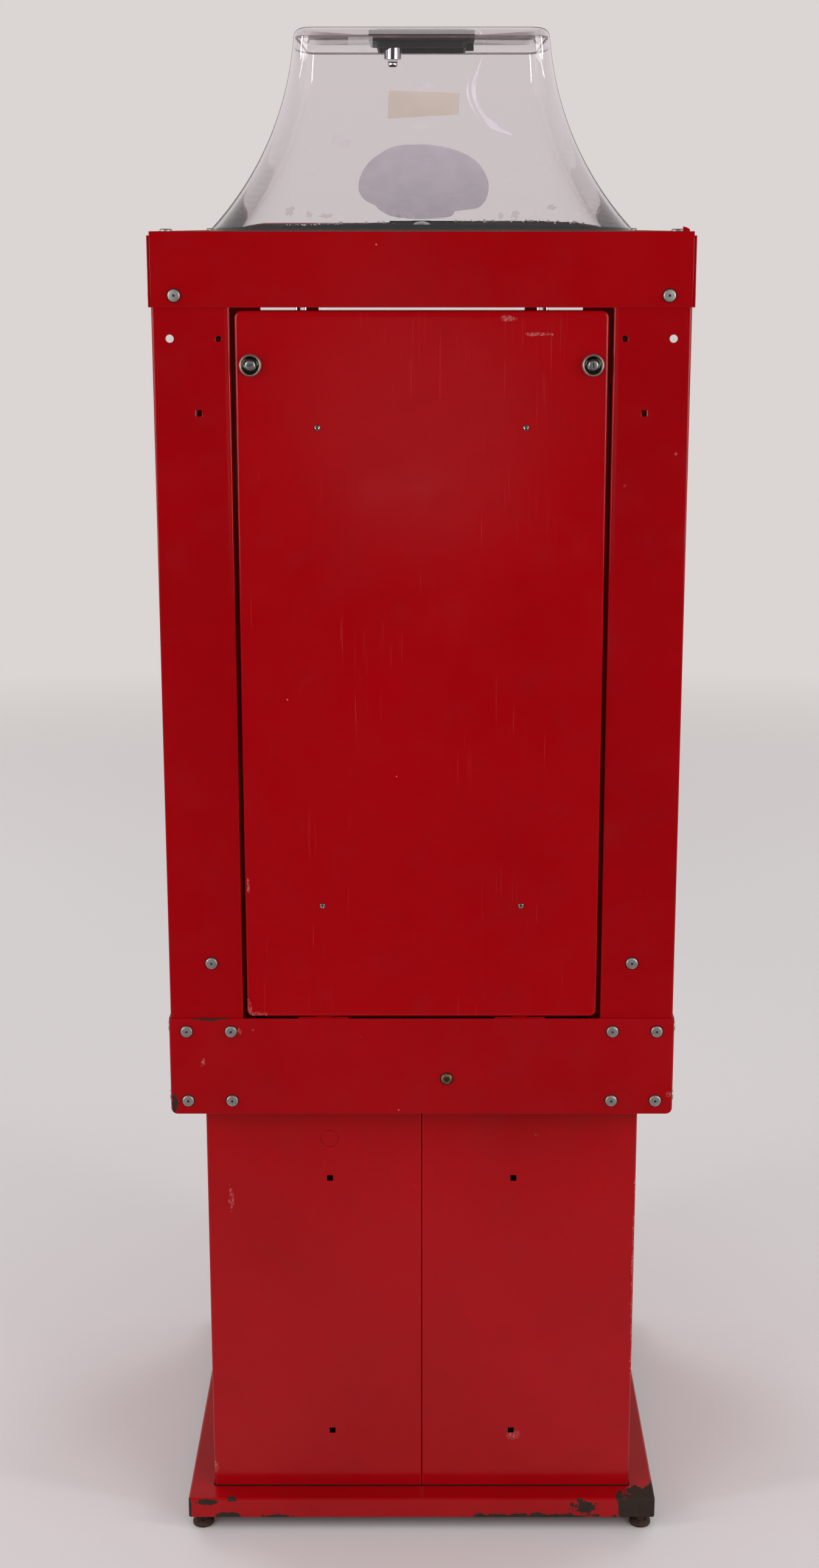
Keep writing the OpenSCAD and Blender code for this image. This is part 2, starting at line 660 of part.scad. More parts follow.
module dome_gasket() color(dark) in_frame() translate([0, 0, frame_low]) linear_extrude(gasket_t)
  difference() {
    polygon(square_pts(2 * flange_half, dome_corner_low + 6, 8));
    polygon(square_pts(2 * (dome_foot - dome_wall), dome_corner_low, 8));
  }

// Fill lid with its lock

skirt_wall = 3;
// Flange over a hollow skirt, which steps in half-way down to lead the lid into its mouth
module fill_lid() color(dark) in_frame() translate([0, 0, dome_z]) {
  skirt_w = mouth_w - 3 * slip;
  difference() {
    union() {
      linear_extrude(lid_t) polygon(square_pts(lid_w, 12));
      translate([0, 0, -lid_step_h]) linear_extrude(lid_step_h + 0.5)
        polygon(square_pts(skirt_w, 8));
      translate([0, 0, -lid_skirt]) linear_extrude(lid_skirt) polygon(square_pts(lid_step_w, 6));
    }
    translate([0, 0, skirt_wall - lid_step_h]) linear_extrude(lid_step_h - skirt_wall - 1)
      polygon(square_pts(skirt_w - 2 * skirt_wall, 5));
    translate([0, 0, -lid_skirt - 1]) linear_extrude(lid_skirt)
      polygon(square_pts(lid_step_w - 2 * skirt_wall, 4));
    translate([lid_lock_x, 0, -lid_skirt]) cylinder(d = lid_lock_d, h = 2 * lid_skirt);
  }
  // Catch that holds the side across from the lock
  translate([-skirt_w / 2, -lid_catch_w / 2, 1.5 - lid_skirt])
    cube([(skirt_w - lid_step_w) / 2 + 1, lid_catch_w, lid_skirt - 1]);
}

lid_rim_h = 2;
module lid_lock_body() color(chrome) in_frame() translate([lid_lock_x, 0, dome_z]) difference() {
  union() {
    translate([0, 0, lid_t]) cylinder(d = lid_lock_d + 4, h = lid_rim_h);
    translate([0, 0, -lid_lock_len]) cylinder(d = lid_lock_d - 0.2, h = lid_lock_len + lid_t + 0.5);
  }
  translate([0, 0, -lid_lock_len - 1])
    cylinder(d = lock_plug_d + 2 * run_gap, h = lid_lock_len + lid_t + lid_rim_h + 2);
}

// Plug, joggled cam and nut of the lid lock: they turn together inside the barrel
module lid_lock_cam() color(chrome) in_frame() translate([lid_lock_x, 0, dome_z]) {
  cam_z = -lid_lock_len - 0.3 - cam_t;
  difference() {
    translate([0, 0, cam_z]) cylinder(d = lock_plug_d, h = lid_t + lid_rim_h - cam_z - 0.4);
    translate([-0.8, -3, lid_t]) cube([1.6, 6, 4]);
  }
  translate([0, 0, cam_z - 6]) cylinder(d = lock_plug_d, h = 6.2, $fn = 24);
  rotate(-90) translate([0, cam_w / 2, 0]) rotate([90, 0, 0]) linear_extrude(cam_w)
    polygon([[-8, cam_z], [16, cam_z], [16 + lid_joggle, cam_z + lid_joggle],
      [lid_cam, cam_z + lid_joggle], [lid_cam, cam_z + lid_joggle + cam_t],
      [15 + lid_joggle, cam_z + lid_joggle + cam_t], [15, cam_z + cam_t], [-8, cam_z + cam_t]]);
}

// Carriage bolts of the cabinet

module rear_bolts() color(chrome) in_frame() {
  both_sides() {
    for (x = [half - bolt_out, half - bolt_in], z = band_bolt_z)
      on_rear(x, wall_out, z) carriage_bolt(2 * sheet);
    on_rear(half - collar_bolt_in, wall_out, collar_bolt_z) carriage_bolt(2 * sheet);
    on_rear(half - col_face / 2 - 7, half, z_zone + col_bolt_rise) carriage_bolt(sheet);
    for (z = band_bolt_z) translate([wall_out, half - bolt_out, z]) along_x()
      carriage_bolt(z > z_display - rail_w ? 3 * sheet : 2 * sheet);
  }
  on_rear(-band_screw_x, wall_out, band_screw_z) band_screw();
}

band_screw_z = z_band + band_screw_rise;
// Round-headed screw with a round socket and its nut, which holds nothing but the band
module band_screw() {
  head_h = 3;
  cap_r = (pow(band_screw_d / 2, 2) + pow(head_h, 2)) / (2 * head_h);
  difference() {
    intersection() {
      translate([0, 0, head_h - cap_r]) sphere(cap_r);
      cylinder(d = band_screw_d + 4, h = head_h + 1, $fn = 32);
    }
    translate([0, 0, 0.8]) cylinder(d = 6.5, h = head_h);
  }
  translate([0, 0, -sheet - 7]) cylinder(d = bolt_d, h = sheet + 7.2);
  translate([0, 0, -sheet - 5]) cylinder(r = 6.35, h = 5, $fn = 6);
}

// Bolts of the front and side skirts, the top frame and the pedestal
module cabinet_bolts() color(chrome) in_frame() {
  both_sides() {
    for (z = band_bolt_z) {
      translate([half - bolt_out, -wall_out, z]) rotate([90, 0, 0]) carriage_bolt(2 * sheet);
      for (y = [half - bolt_out, half - bolt_in]) translate([wall_out, -y, z]) along_x()
        carriage_bolt(z > z_display - rail_w ? 3 * sheet : 2 * sheet);
    }
    translate([half - collar_bolt_in, -skirt_out, collar_bolt_z]) rotate([90, 0, 0])
      carriage_bolt(skirt_t + sheet);
    for (y = [-1, 1]) translate([skirt_out, y * (half - collar_bolt_in), collar_bolt_z]) along_x()
      carriage_bolt(skirt_t + sheet);
  }
  for (x = [-1, 1], y = [-1, 1]) {
    translate([x * top_bolt_at, y * top_bolt_at, z_top]) carriage_bolt(z_top - z_deck);
    for (z = [z_ped, z_floor]) translate([x * ped_bolt_x, y * ped_bolt_y, z + sheet])
      carriage_bolt(2 * sheet);
  }
  for (y = [-1, 1], z = seam_bolt_z) translate([sheet, y * ped_bolt_y, z]) along_x()
    carriage_bolt(2 * sheet);
}

// Dispensing wheel and its drive

// Angle in degrees of an involute from base radius rb at radius r
function inv_deg(rb, r) = r <= rb ? 0 : let (a = acos(rb / r)) tan(a) * 180 / PI - a;
// Outline of a spur gear with n steps on each flank
function gear_pts(m, z, tip, root, play, n) =
  let (rp = m * z / 2, rb = rp * cos(20), hp = 90 / z - play / 4 / rp * 180 / PI)
  [for (k = [0:z - 1], s = [0:2 * n + 1])
    let (q = s <= n ? s : 2 * n + 1 - s, r = root + (tip - root) * q / n,
      h = hp + inv_deg(rb, rp) - inv_deg(rb, r), a = 360 * k / z + (s <= n ? -h : h))
    [r * cos(a), r * sin(a)]];

ring_rp = gear_m * ring_teeth / 2;
pinion_rp = gear_m * pinion_teeth / 2;
rod_x = (ring_rp + pinion_rp) * cos(rod_angle);
rod_y = (ring_rp + pinion_rp) * sin(rod_angle);
bush_d = rod_d + 6;
out_angle = -90;
wheel_low = z_wheel_deck + sheet + 1.5;
wheel_rim_z = z_top;
seat_r = ring_rp - 7;
tube_d = pocket_d + 6;

module wheel_deck() color(steel) in_frame() difference() {
  s = dome_foot + 2;
  translate([-s, -s, z_wheel_deck]) cube([2 * s, 2 * s, chamber_h]);
  translate([sheet - s, sheet - s, z_wheel_deck + sheet])
    cube([2 * (s - sheet), 2 * (s - sheet), chamber_h]);
  translate([0, 0, z_wheel_deck - 1]) cylinder(d = spindle_d - 4, h = sheet + 2);
  rotate(out_angle) translate([ball_r, 0, z_wheel_deck - 1]) cylinder(d = pocket_d, h = sheet + 2);
  translate([rod_x, rod_y, z_wheel_deck - 1]) cylinder(d = bush_d, h = sheet + 2);
}

module wheel_spindle() color(steel) in_frame() {
  top = wheel_rim_z + cone_h - 3;
  translate([0, 0, z_wheel_deck + sheet]) cylinder(d = 2.4 * spindle_d, h = 1);
  translate([0, 0, z_wheel_deck + sheet]) cylinder(d = spindle_d, h = top - z_wheel_deck - sheet + 0.5);
  translate([0, 0, z_wheel_deck - 12]) cylinder(d = spindle_d - 4.2, h = 14);
  translate([0, 0, z_wheel_deck - 8]) cylinder(r = spindle_d * 0.8, h = 8, $fn = 6);
  translate([0, 0, top + 0.3]) intersection() {
    translate([0, 0, -13]) sphere(17);
    cylinder(d = 30, h = 5);
  }
}

wheel_lip = 2;
module dispensing_wheel() color(dark) in_frame() difference() {
  union() {
    rotate_extrude($fn = 96) polygon([
      [spindle_d / 2 + run_gap, wheel_low - 0.3], [spindle_d / 2 + 14, wheel_low - 0.3],
      [spindle_d / 2 + 14, wheel_rim_z + cone_h - 9], [ball_r - pocket_d / 2 - 14, wheel_rim_z - 2],
      [ball_r - pocket_d / 2 - 14, wheel_low], [seat_r + wheel_lip, wheel_low],
      [seat_r + wheel_lip, wheel_low + 1.5], [seat_r, wheel_low + 1.5], [seat_r, wheel_rim_z - 3],
      [wheel_r, wheel_rim_z - 3], [wheel_r, wheel_rim_z],
      [spindle_d / 2 + 14, wheel_rim_z + cone_h - 3],
      [spindle_d / 2 + run_gap, wheel_rim_z + cone_h - 3]]);
    for (k = [0:7]) rotate(45 * k + 10) translate([spindle_d / 2 + 12, -1.5, wheel_low + 4])
      cube([ball_r - pocket_d / 2 - 24 - spindle_d / 2, 3, wheel_rim_z - wheel_low - 5]);
  }
  for (k = [0:pockets - 1]) rotate(out_angle + 360 * (k + 0.5) / pockets) translate([ball_r, 0, 0]) {
    translate([0, 0, wheel_low - 1]) cylinder(d = pocket_d, h = wheel_rim_z - wheel_low + 9);
    translate([0, 0, wheel_rim_z - 3]) cylinder(d1 = pocket_d, d2 = pocket_d + 10, h = 5);
  }
}

ring_z = wheel_low + 1.5;
module ring_gear() color(white) in_frame() translate([0, 0, ring_z]) difference() {
  linear_extrude(gear_w)
    polygon(gear_pts(gear_m, ring_teeth, wheel_r - 0.6, ring_rp - 3.6, backlash, 1));
  translate([0, 0, -1]) cylinder(r = seat_r + run_gap, h = gear_w + 2, $fn = 360);
}

// Half a tooth turns the pinion's space onto the ring gear's tooth at the mesh point
mesh_turn = rod_angle + 180 + 180 / pinion_teeth
  + (rod_angle * ring_teeth / 360 - round(rod_angle * ring_teeth / 360)) * 360 / pinion_teeth;
module rod_pinion() color(steel) in_frame() translate([rod_x, rod_y, ring_z - 0.5]) difference() {
  union() {
    linear_extrude(gear_w + 1) rotate(mesh_turn)
      polygon(gear_pts(gear_m, pinion_teeth, pinion_rp + 2.6, pinion_rp - 3.5, backlash, 3));
    cylinder(d = rod_d + 10, h = gear_w + 6);
  }
  translate([0, 0, -1]) cylinder(d = rod_d + 2 * run_gap, h = gear_w + 8);
}

// Half the angle that the guard covers on the pocket circle
guard_spread = 14;
guard_t = 3;
// Keeps the balls above from following one into the outlet, on a foot bent from the same strip
module pocket_guard() color(dark) in_frame() rotate(out_angle) {
  low = wheel_rim_z + 3;
  reach = wheel_r + gap_r + slip;
  foot = dome_foot - dome_wall - reach - 3 * slip;
  difference() {
    translate([0, 0, low]) cylinder(r = ball_r + pocket_d / 2 + 6, h = guard_t, $fn = 96);
    translate([0, 0, low - 1]) cylinder(r = ball_r - pocket_d / 2 - 6, h = 5, $fn = 96);
    for (s = [-1, 1]) rotate(s * guard_spread)
      translate([-cab_w, s > 0 ? 0 : -2 * cab_w, low - 1]) cube([2 * cab_w, 2 * cab_w, 5]);
    translate([-cab_w, -cab_w, low - 1]) cube([cab_w, 2 * cab_w, 5]);
  }
  translate([ball_r + pocket_d / 2, -12, low])
    cube([reach + guard_t - ball_r - pocket_d / 2, 24, guard_t]);
  translate([reach, -12, frame_low]) cube([guard_t, 24, low - frame_low + 0.5]);
  translate([reach, -12, frame_low]) cube([foot, 24, guard_t]);
}

spur_rp = face_m * spur_teeth / 2;
crown_rp = face_m * crown_teeth / 2;
shaft_z = z_band + band_h / 2 - 0.5;
crown_z = shaft_z + spur_rp;
tooth_up = 0.8 * face_m;
tooth_down = 1.2 * face_m;
module drive_rod() color(steel) in_frame() translate([rod_x, rod_y, 0]) {
  low = crown_z + 1;
  translate([0, 0, low]) cylinder(d = rod_d, h = ring_z + gear_w + 8 - low);
  translate([0, 0, z_display + sheet + 3.2]) cylinder(d = rod_d + 8, h = 8);
}

module crown_gear() color(steel) in_frame() translate([rod_x, rod_y, crown_z]) difference() {
  union() {
    translate([0, 0, tooth_down]) cylinder(r = crown_rp + spur_w / 2 + 1, h = 6);
    translate([0, 0, tooth_down]) cylinder(d = rod_d + 12, h = 16);
    for (k = [0:crown_teeth - 1]) rotate(-90 + 360 * (k + 0.5) / crown_teeth)
      translate([crown_rp - spur_w / 2, 0, 0]) rotate([90, 0, 90]) linear_extrude(spur_w)
        polygon([[-0.75, -tooth_up], [0.75, -tooth_up], [1.5, 0], [2.6, tooth_down + 0.5],
          [-2.6, tooth_down + 0.5], [-1.5, 0]]);
  }
  translate([0, 0, tooth_down - 1]) cylinder(d = rod_d + 2 * run_gap, h = 20);
  // Relief inside the ring of teeth
  translate([0, 0, -tooth_up - 1]) cylinder(r = crown_rp - spur_w / 2, h = tooth_up + tooth_down + 1);
}

module rod_bushes() color(steel) in_frame() translate([rod_x, rod_y, 0])
  for (z = [z_display, z_wheel_deck]) translate([0, 0, z]) difference() {
    f = z == z_display ? 3 : 0.8;
    union() {
      translate([0, 0, -8]) cylinder(d = bush_d - 0.1, h = 8 + sheet + 0.5);
      translate([0, 0, sheet]) cylinder(d = bush_d + 6, h = f);
    }
    translate([0, 0, -9]) cylinder(d = rod_d + 2 * run_gap, h = 20);
  }

// Ball track

stay_r = ball_r + lane_w / 2 + lane_t + stay_d / 2 + 2.5;
track_z0 = z_wheel_deck - track_drop;
track_z1 = z_display + sheet + track_rise;
pitch = (track_z0 - track_z1) / (3 * turns);
lane_soft = 3;
lane_section = let (w = lane_w / 2, t = lane_t, c = lane_soft) [
  [-w - t, c], [-w - t + c, 0], [w + t - c, 0], [w + t, c], [w + t, lane_out_h], [w, lane_out_h],
  [w, t + c], [w - c, t], [c - w, t], [-w, t + c], [-w, lane_in_h], [-w - t, lane_in_h]];
step_a = 10;
// Turn in degrees at ring i of a section, whose ends stop just short of its neighbours
section_steps = turns * 360 / step_a;
end_trim = 0.15;
function turn_at(i) = i == 0 ? end_trim : i == section_steps ? turns * 360 - end_trim : i * step_a;
// Point p of the lane's section after a turn of a degrees from the track's top
function track_pt(a, p) = [(ball_r + p[0]) * cos(out_angle - a),
  (ball_r + p[0]) * sin(out_angle - a), track_z0 - pitch * a / 360 + p[1]];
// One section of the trough, which winds clockwise on its way down
module track_section(index) color(white) in_frame() {
  n = len(lane_section);
  first = index * turns * 360;
  polyhedron(
    points = [for (i = [0:section_steps]) for (p = lane_section) track_pt(first + turn_at(i), p)],
    faces = concat([[for (k = [0:n - 1]) k]], [[for (k = [n - 1:-1:0]) section_steps * n + k]],
      [for (i = [0:section_steps - 1], k = [0:n - 1])
        let (a = i * n + k, b = i * n + (k + 1) % n, c = b + n, d = a + n)
        each [[a, d, c], [a, c, b]]]), convexity = 20);
}
module track_section_1() track_section(0);
module track_section_2() track_section(1);
module track_section_3() track_section(2);

stay_dirs = [stay_angle, 180 - stay_angle, 180 + stay_angle, -stay_angle];
module track_stays() color(chrome) in_frame() for (a = stay_dirs)
  rotate(a) translate([stay_r, 0, z_pane]) cylinder(d = stay_d, h = z_wheel_deck - z_pane);

// Height of the trough's underside at direction a, on turn k
function lane_z(a, k) = track_z0 - pitch * (k + ((out_angle - a) % 360 + 360) % 360 / 360);
clip_h = 6;
clip_w = 8;
// Fall of the trough over half a clip's width, and its seating clearance
clip_drop = clip_w / 2 * pitch / (2 * PI * (ball_r + lane_w / 2)) + 0.3;
module track_clips() color(steel) in_frame() for (a = stay_dirs, k = [0:3 * turns - 1])
  rotate(a) translate([0, 0, lane_z(a, k) - clip_h - clip_drop]) difference() {
    union() {
      translate([stay_r, 0, 0]) cylinder(d = stay_d + 5, h = clip_h);
      translate([ball_r + lane_w / 2 - 8, -clip_w / 2, 0])
        cube([stay_r - ball_r - lane_w / 2 + 8, clip_w, clip_h]);
    }
    translate([stay_r, 0, -1]) cylinder(d = stay_d + 2 * run_gap, h = clip_h + 2);
  }

module drop_tube() color(clear) in_frame() rotate(out_angle) translate([ball_r, 0, 0]) {
  low = track_z0 + lane_out_h + 6;
  rotate_extrude() polygon([[pocket_d / 2, low], [tube_d / 2, low], [tube_d / 2, z_wheel_deck - 3],
    [tube_d / 2 + 6, z_wheel_deck - 3], [tube_d / 2 + 6, z_wheel_deck], [pocket_d / 2, z_wheel_deck]]);
}

// Exit chute and flap

chute_in = lane_w;
chute_w = chute_in + 2 * sheet;
chute_back = -ball_r + ball_hole / 2 + sheet;
chute_front = -half;
chute_run = chute_back - chute_front;
chute_mouth_h = 46;
chute_mouth_z = z_display - chute_drop - chute_run * tan(chute_slope) + sheet;
module exit_chute() color(white) in_frame() translate([-chute_x, 0, 0]) difference() {
  top_back = -ball_r - ball_hole / 2 - sheet;
  translate([-chute_w / 2, 0, 0]) rotate([90, 0, 90]) linear_extrude(chute_w) polygon([
    [chute_back, z_display], [top_back, z_display], [chute_front, chute_mouth_z + chute_mouth_h],
    [chute_front, chute_mouth_z - sheet], [chute_back, z_display - chute_drop]]);
  translate([-chute_in / 2, 0, 0]) rotate([90, 0, 90]) linear_extrude(chute_in) polygon([
    [chute_back - sheet, z_display + 1], [top_back + sheet, z_display + 1],
    [top_back + sheet, z_display - sheet - 1],
    [chute_front - 1, chute_mouth_z + chute_mouth_h - sheet - 1],
    [chute_front - 1, chute_mouth_z], [chute_front, chute_mouth_z],
    [chute_back - sheet, z_display - chute_drop]]);
}

flap_frame_w = chute_in + 26;
frame_t = 4;
flap_z = chute_mouth_z + chute_mouth_h + 3;
flap_y = -wall_out - frame_t - 4;
pin_d = 3;
module chute_frame() color(chrome) in_frame() translate([-chute_x, 0, 0]) {
  w = flap_frame_w / 2;
  face_y = -wall_out - frame_t;
  lug_x = chute_in / 2 + 5;
  translate([0, -wall_out, 0]) rotate([90, 0, 0]) linear_extrude(frame_t) difference() {
    polygon(rounded(-w, chute_mouth_z - 12, w, flap_z + 10, 6));
    polygon(rounded(-chute_in / 2, chute_mouth_z, chute_in / 2, chute_mouth_z + chute_mouth_h - 2, 4));
  }
  for (s = [-1, 1]) difference() {
    translate([s * lug_x - 2.5, flap_y - 4, flap_z - 4]) cube([5, face_y - flap_y + 4.5, 8]);
    translate([s * lug_x - 5, flap_y, flap_z]) along_x() cylinder(d = pin_d + 0.05, h = 10);
  }
  translate([-lug_x - 2.4, flap_y, flap_z]) along_x() cylinder(d = pin_d, h = 2 * lug_x + 4.8);
  for (s = [-1, 1]) translate([s * (w - 6), face_y, chute_mouth_z - 6]) rotate([90, 0, 0]) {
    intersection() {
      translate([0, 0, -3]) sphere(5);
      cylinder(d = 12, h = 3);
    }
    translate([0, 0, -frame_t - sheet - 3]) cylinder(d = 3.8, h = frame_t + sheet + 3.2);
  }
}

module chute_flap() color(chrome) in_frame() translate([-chute_x, flap_y, flap_z]) difference() {
  w = chute_in + 3;
  t = 2;
  union() {
    translate([-w / 2, 0, 0]) along_x() cylinder(d = pin_d + 4, h = w);
    translate([0, -0.5 * t + 1.5, 0]) rotate([90, 0, 0]) linear_extrude(t)
      polygon(rounded(-w / 2, -chute_mouth_h - 4, w / 2, 0, 1.5));
    translate([-w / 2 + 4, -3.5, -chute_mouth_h - 3]) cube([w - 8, 3, 4]);
  }
  translate([-w, 0, 0]) along_x() cylinder(d = pin_d + 2 * run_gap, h = 2 * w);
}

// Coin works

mech_h = coin_h - 14;
mech_nose = 8;
gear_hub = 6;
mech_len = wall_out + rod_y - crown_rp - spur_w / 2 - gear_hub - mech_gap - mech_nose;
plate_y = -wall_out - coin_t;
module coin_plate() color(chrome) in_frame() translate([rod_x, 0, shaft_z]) difference() {
  translate([0, -wall_out, 0]) rotate([90, 0, 0]) linear_extrude(coin_t)
    polygon(rounded(-coin_w / 2, -coin_h / 2, coin_w / 2, coin_h / 2, 8));
  translate([0, plate_y - 1, 0]) along_y() cylinder(d = shaft_d + 6, h = coin_t + 2);
  translate([-13, plate_y - 1, 35]) cube([26, coin_t + 2, 3]);
  // Bevelled recess round the handle
  translate([0, plate_y - 0.5, 0]) along_y() cylinder(d1 = 50, d2 = 46, h = 2);
}

module coin_mech_body() color(steel) in_frame() translate([rod_x, -wall_out, shaft_z]) difference() {
  union() {
    rotate([-90, 0, 0]) linear_extrude(mech_len)
      polygon(rounded(-mech_w / 2, -mech_h / 2, mech_w / 2, mech_h / 2, 5));
    translate([0, mech_len - 1, 0]) along_y() cylinder(d = shaft_d + 12, h = mech_nose + 1);
  }
  translate([0, -1, 0]) along_y() cylinder(d = shaft_d + 2 * run_gap, h = mech_len + 12);
  // Coin slot and coin fall
  translate([-13, -1, 35]) cube([26, mech_len - 20, 3]);
  translate([-14, mech_len - 26, -mech_h / 2 - 1]) cube([28, 18, 24]);
  // Ribs left by pockets in the casting's sides
  for (s = [-1, 1], y = [10:18:46])
    translate([s * mech_w / 2 - 3, y, -mech_h / 2 + 12]) cube([6, 12, mech_h - 24]);
}

module coin_handle() color(chrome) in_frame() translate([rod_x, plate_y, shaft_z]) difference() {
  union() {
    translate([0, -handle_reach, 0]) along_y() cylinder(d1 = 18, d2 = 26, h = handle_reach - 0.6);
    rotate([90, 0, 0]) translate([0, 0, handle_reach - 20]) linear_extrude(16)
      polygon(rounded(-handle_span / 2, -6, handle_span / 2, 6, 5));
    translate([0, -2.6, 0]) along_y() cylinder(d = 42, h = 2);
  }
  translate([0, -handle_reach + 6, 0]) along_y() cylinder(d = shaft_d + 2 * run_gap, h = handle_reach);
  // Finger hollows on both faces of the wings
  for (s = [-1, 1], u = [-1, 1]) translate([s * handle_span * 0.31, -handle_reach + 3, u * 13])
    along_y() cylinder(r = 9, h = 18);
}

shaft_end = -rod_y + crown_rp - spur_w / 2 - 2;
module coin_shaft() color(steel) in_frame() translate([rod_x, 0, shaft_z]) {
  front = plate_y - handle_reach + 6.2;
  translate([0, front, 0]) along_y() cylinder(d = shaft_d, h = -shaft_end - front);
}

module coin_gear() color(steel) in_frame() translate([rod_x, rod_y - crown_rp, shaft_z]) difference() {
  union() {
    translate([0, spur_w / 2, 0]) rotate([90, 90, 0]) linear_extrude(spur_w)
      polygon(gear_pts(face_m, spur_teeth, spur_rp + tooth_up, spur_rp - 1.25 * face_m, 1.2, 3));
    translate([0, -spur_w / 2 - gear_hub, 0]) along_y() cylinder(d = shaft_d + 8, h = gear_hub + 1);
  }
  translate([0, -spur_w / 2 - gear_hub - 1, 0]) along_y()
    cylinder(d = shaft_d + 2 * run_gap, h = spur_w + gear_hub + 2);
}

tray_t = 1.5;
module cash_tray() color(steel) in_frame()
  translate([rod_x - tray_w / 2, mech_len - wall_out + 4, z_post]) difference() {
    cube([tray_w, tray_len, tray_h]);
    translate([tray_t, tray_t, tray_t]) cube([tray_w - 2 * tray_t, tray_len - 2 * tray_t, tray_h]);
  }

// Service door

door_half = half - col_face - door_gap;
door_z0 = z_zone + door_low_gap;
door_z1 = z_collar - door_top_gap;
lock_x = door_half - lock_in;
lock_z = door_z1 - lock_drop;
module door_panel() color(red) in_frame() difference() {
  translate([0, half, 0]) rotate([90, 0, 0]) linear_extrude(door_depth)
    polygon(rounded(-door_half, door_z0, door_half, door_z1, door_corner));
  translate([0, half - sheet, 0]) rotate([90, 0, 0]) linear_extrude(door_depth) polygon(rounded(
    sheet - door_half, door_z0 + sheet, door_half - sheet, door_z1 - sheet, door_corner - sheet));
  both_sides() {
    on_rear(lock_x, half - 2 * sheet, lock_z) cylinder(d = lock_body_d + 0.3, h = 4 * sheet);
    for (z = [door_z1 - rivet_drop, door_z0 + rivet_rise])
      on_rear(rivet_x, half - 2 * sheet, z) cylinder(d = 4.2, h = 4 * sheet);
  }
}

// Two slim hinges, hidden behind the lower band, on which the door tips out
hinge_y = half - 2;
hinge_z = z_zone - 1;
knuckle_d = 3.8;
hinge_pin_d = 2;
knuckle_l = 20;
hinge_leaf_t = 1;
hinge_x = rivet_x;
module door_hinge_leaves() color(red) in_frame() both_sides() difference() {
  w = knuckle_l - 2 * slip;
  translate([hinge_x - w / 2, 0, 0]) {
    translate([0, hinge_y, hinge_z]) along_x() cylinder(d = knuckle_d, h = w);
    translate([0, hinge_y - door_depth + 5, door_z0 - hinge_leaf_t])
      cube([w, door_depth - 5, hinge_leaf_t]);
    translate([0, hinge_y - 1, hinge_z + 1.4]) cube([w, 1, door_z0 - hinge_z - 1.5]);
  }
  translate([hinge_x - knuckle_l, hinge_y, hinge_z]) along_x()
    cylinder(d = hinge_pin_d + 2 * run_gap, h = 2 * knuckle_l);
}
module door_hinges() color(red) in_frame() both_sides() {
  for (s = [-1, 1]) difference() {
    translate([hinge_x + s * knuckle_l - knuckle_l / 2, 0, 0]) {
      translate([0, hinge_y, hinge_z]) along_x() cylinder(d = knuckle_d, h = knuckle_l);
      translate([0, half - hinge_leaf_t, hinge_z - 18]) cube([knuckle_l, hinge_leaf_t, 18]);
    }
    translate([hinge_x - 2 * knuckle_l, hinge_y, hinge_z]) along_x()
      cylinder(d = hinge_pin_d + 0.02, h = 4 * knuckle_l);
  }
  translate([hinge_x - 1.5 * knuckle_l, hinge_y, hinge_z]) along_x()
    cylinder(d = hinge_pin_d, h = 3 * knuckle_l);
}

stiff_t = 1.5;
module door_stiffeners() color(steel) in_frame() both_sides() difference() {
  translate([rivet_x, half - sheet, door_z0 + 22]) linear_extrude(door_z1 - door_z0 - 44)
    polygon(channel(-stiff_w / 2, stiff_w / 2, -stiff_depth, 0, stiff_t, stiff_t + 0.6));
  for (z = [door_z1 - rivet_drop, door_z0 + rivet_rise])
    on_rear(rivet_x, half - 4 * sheet, z) cylinder(d = 4.2, h = 6 * sheet);
}

module door_rivets() color(red) in_frame() both_sides()
  for (z = [door_z1 - rivet_drop, door_z0 + rivet_rise]) on_rear(rivet_x, half, z) {
    intersection() {
      translate([0, 0, 1.6 - rivet_d * 0.9]) sphere(rivet_d * 0.9);
      cylinder(d = rivet_d, h = 3);
    }
    translate([0, 0, -sheet - stiff_t - 2]) cylinder(d = 4, h = sheet + stiff_t + 2.2);
    translate([0, 0, -sheet - stiff_t - 3]) cylinder(d = 6, h = 3);
  }

module at_door_locks() both_sides() on_rear(lock_x, half, lock_z) children();
module door_lock_bodies() color(chrome) in_frame() at_door_locks() difference() {
  union() {
    cylinder(d1 = lock_rim_d, d2 = lock_rim_d - 4, h = lock_rim_h);
    translate([0, 0, -lock_len]) cylinder(d = lock_body_d, h = lock_len + 0.5);
    translate([0, 0, -sheet - 5]) cylinder(r = 13.5, h = 5, $fn = 6);
  }
  translate([0, 0, -lock_len - 1])
    cylinder(d = lock_plug_d + 2 * run_gap, h = lock_len + lock_rim_h + 2);
}

cam_y = -lock_len - 3.3;
// Turning plug with its cam, which points down when the door is free; the key slot is turned
module lock_plug(slot_turn) {
  difference() {
    translate([0, 0, cam_y]) cylinder(d = lock_plug_d, h = lock_rim_h - 0.6 - cam_y);
    rotate(slot_turn) translate([-0.9, -3.2, lock_rim_h - 4]) cube([1.8, 6.4, 6]);
  }
  translate([0, 0, cam_y - 3]) cylinder(r = 5, h = 3.2, $fn = 6);
  translate([-cam_w / 2, -cam_w / 2 + 6, cam_y]) cube([cam_w, cam_reach + cam_w / 2 - 6, cam_t]);
}
// Seen from the rear, +X is on the left
module right_lock_plug() color(chrome) in_frame() on_rear(lock_x, half, lock_z) lock_plug(102);
module left_lock_plug() color(chrome) in_frame() on_rear(-lock_x, half, lock_z) lock_plug(7);

strike_y = half + cam_y + cam_t + 1 + sheet;
strike_x = half - col_face;
stop_y = half - door_depth - 3;
stop_x = rivet_x + 5;
stop_w = 14;
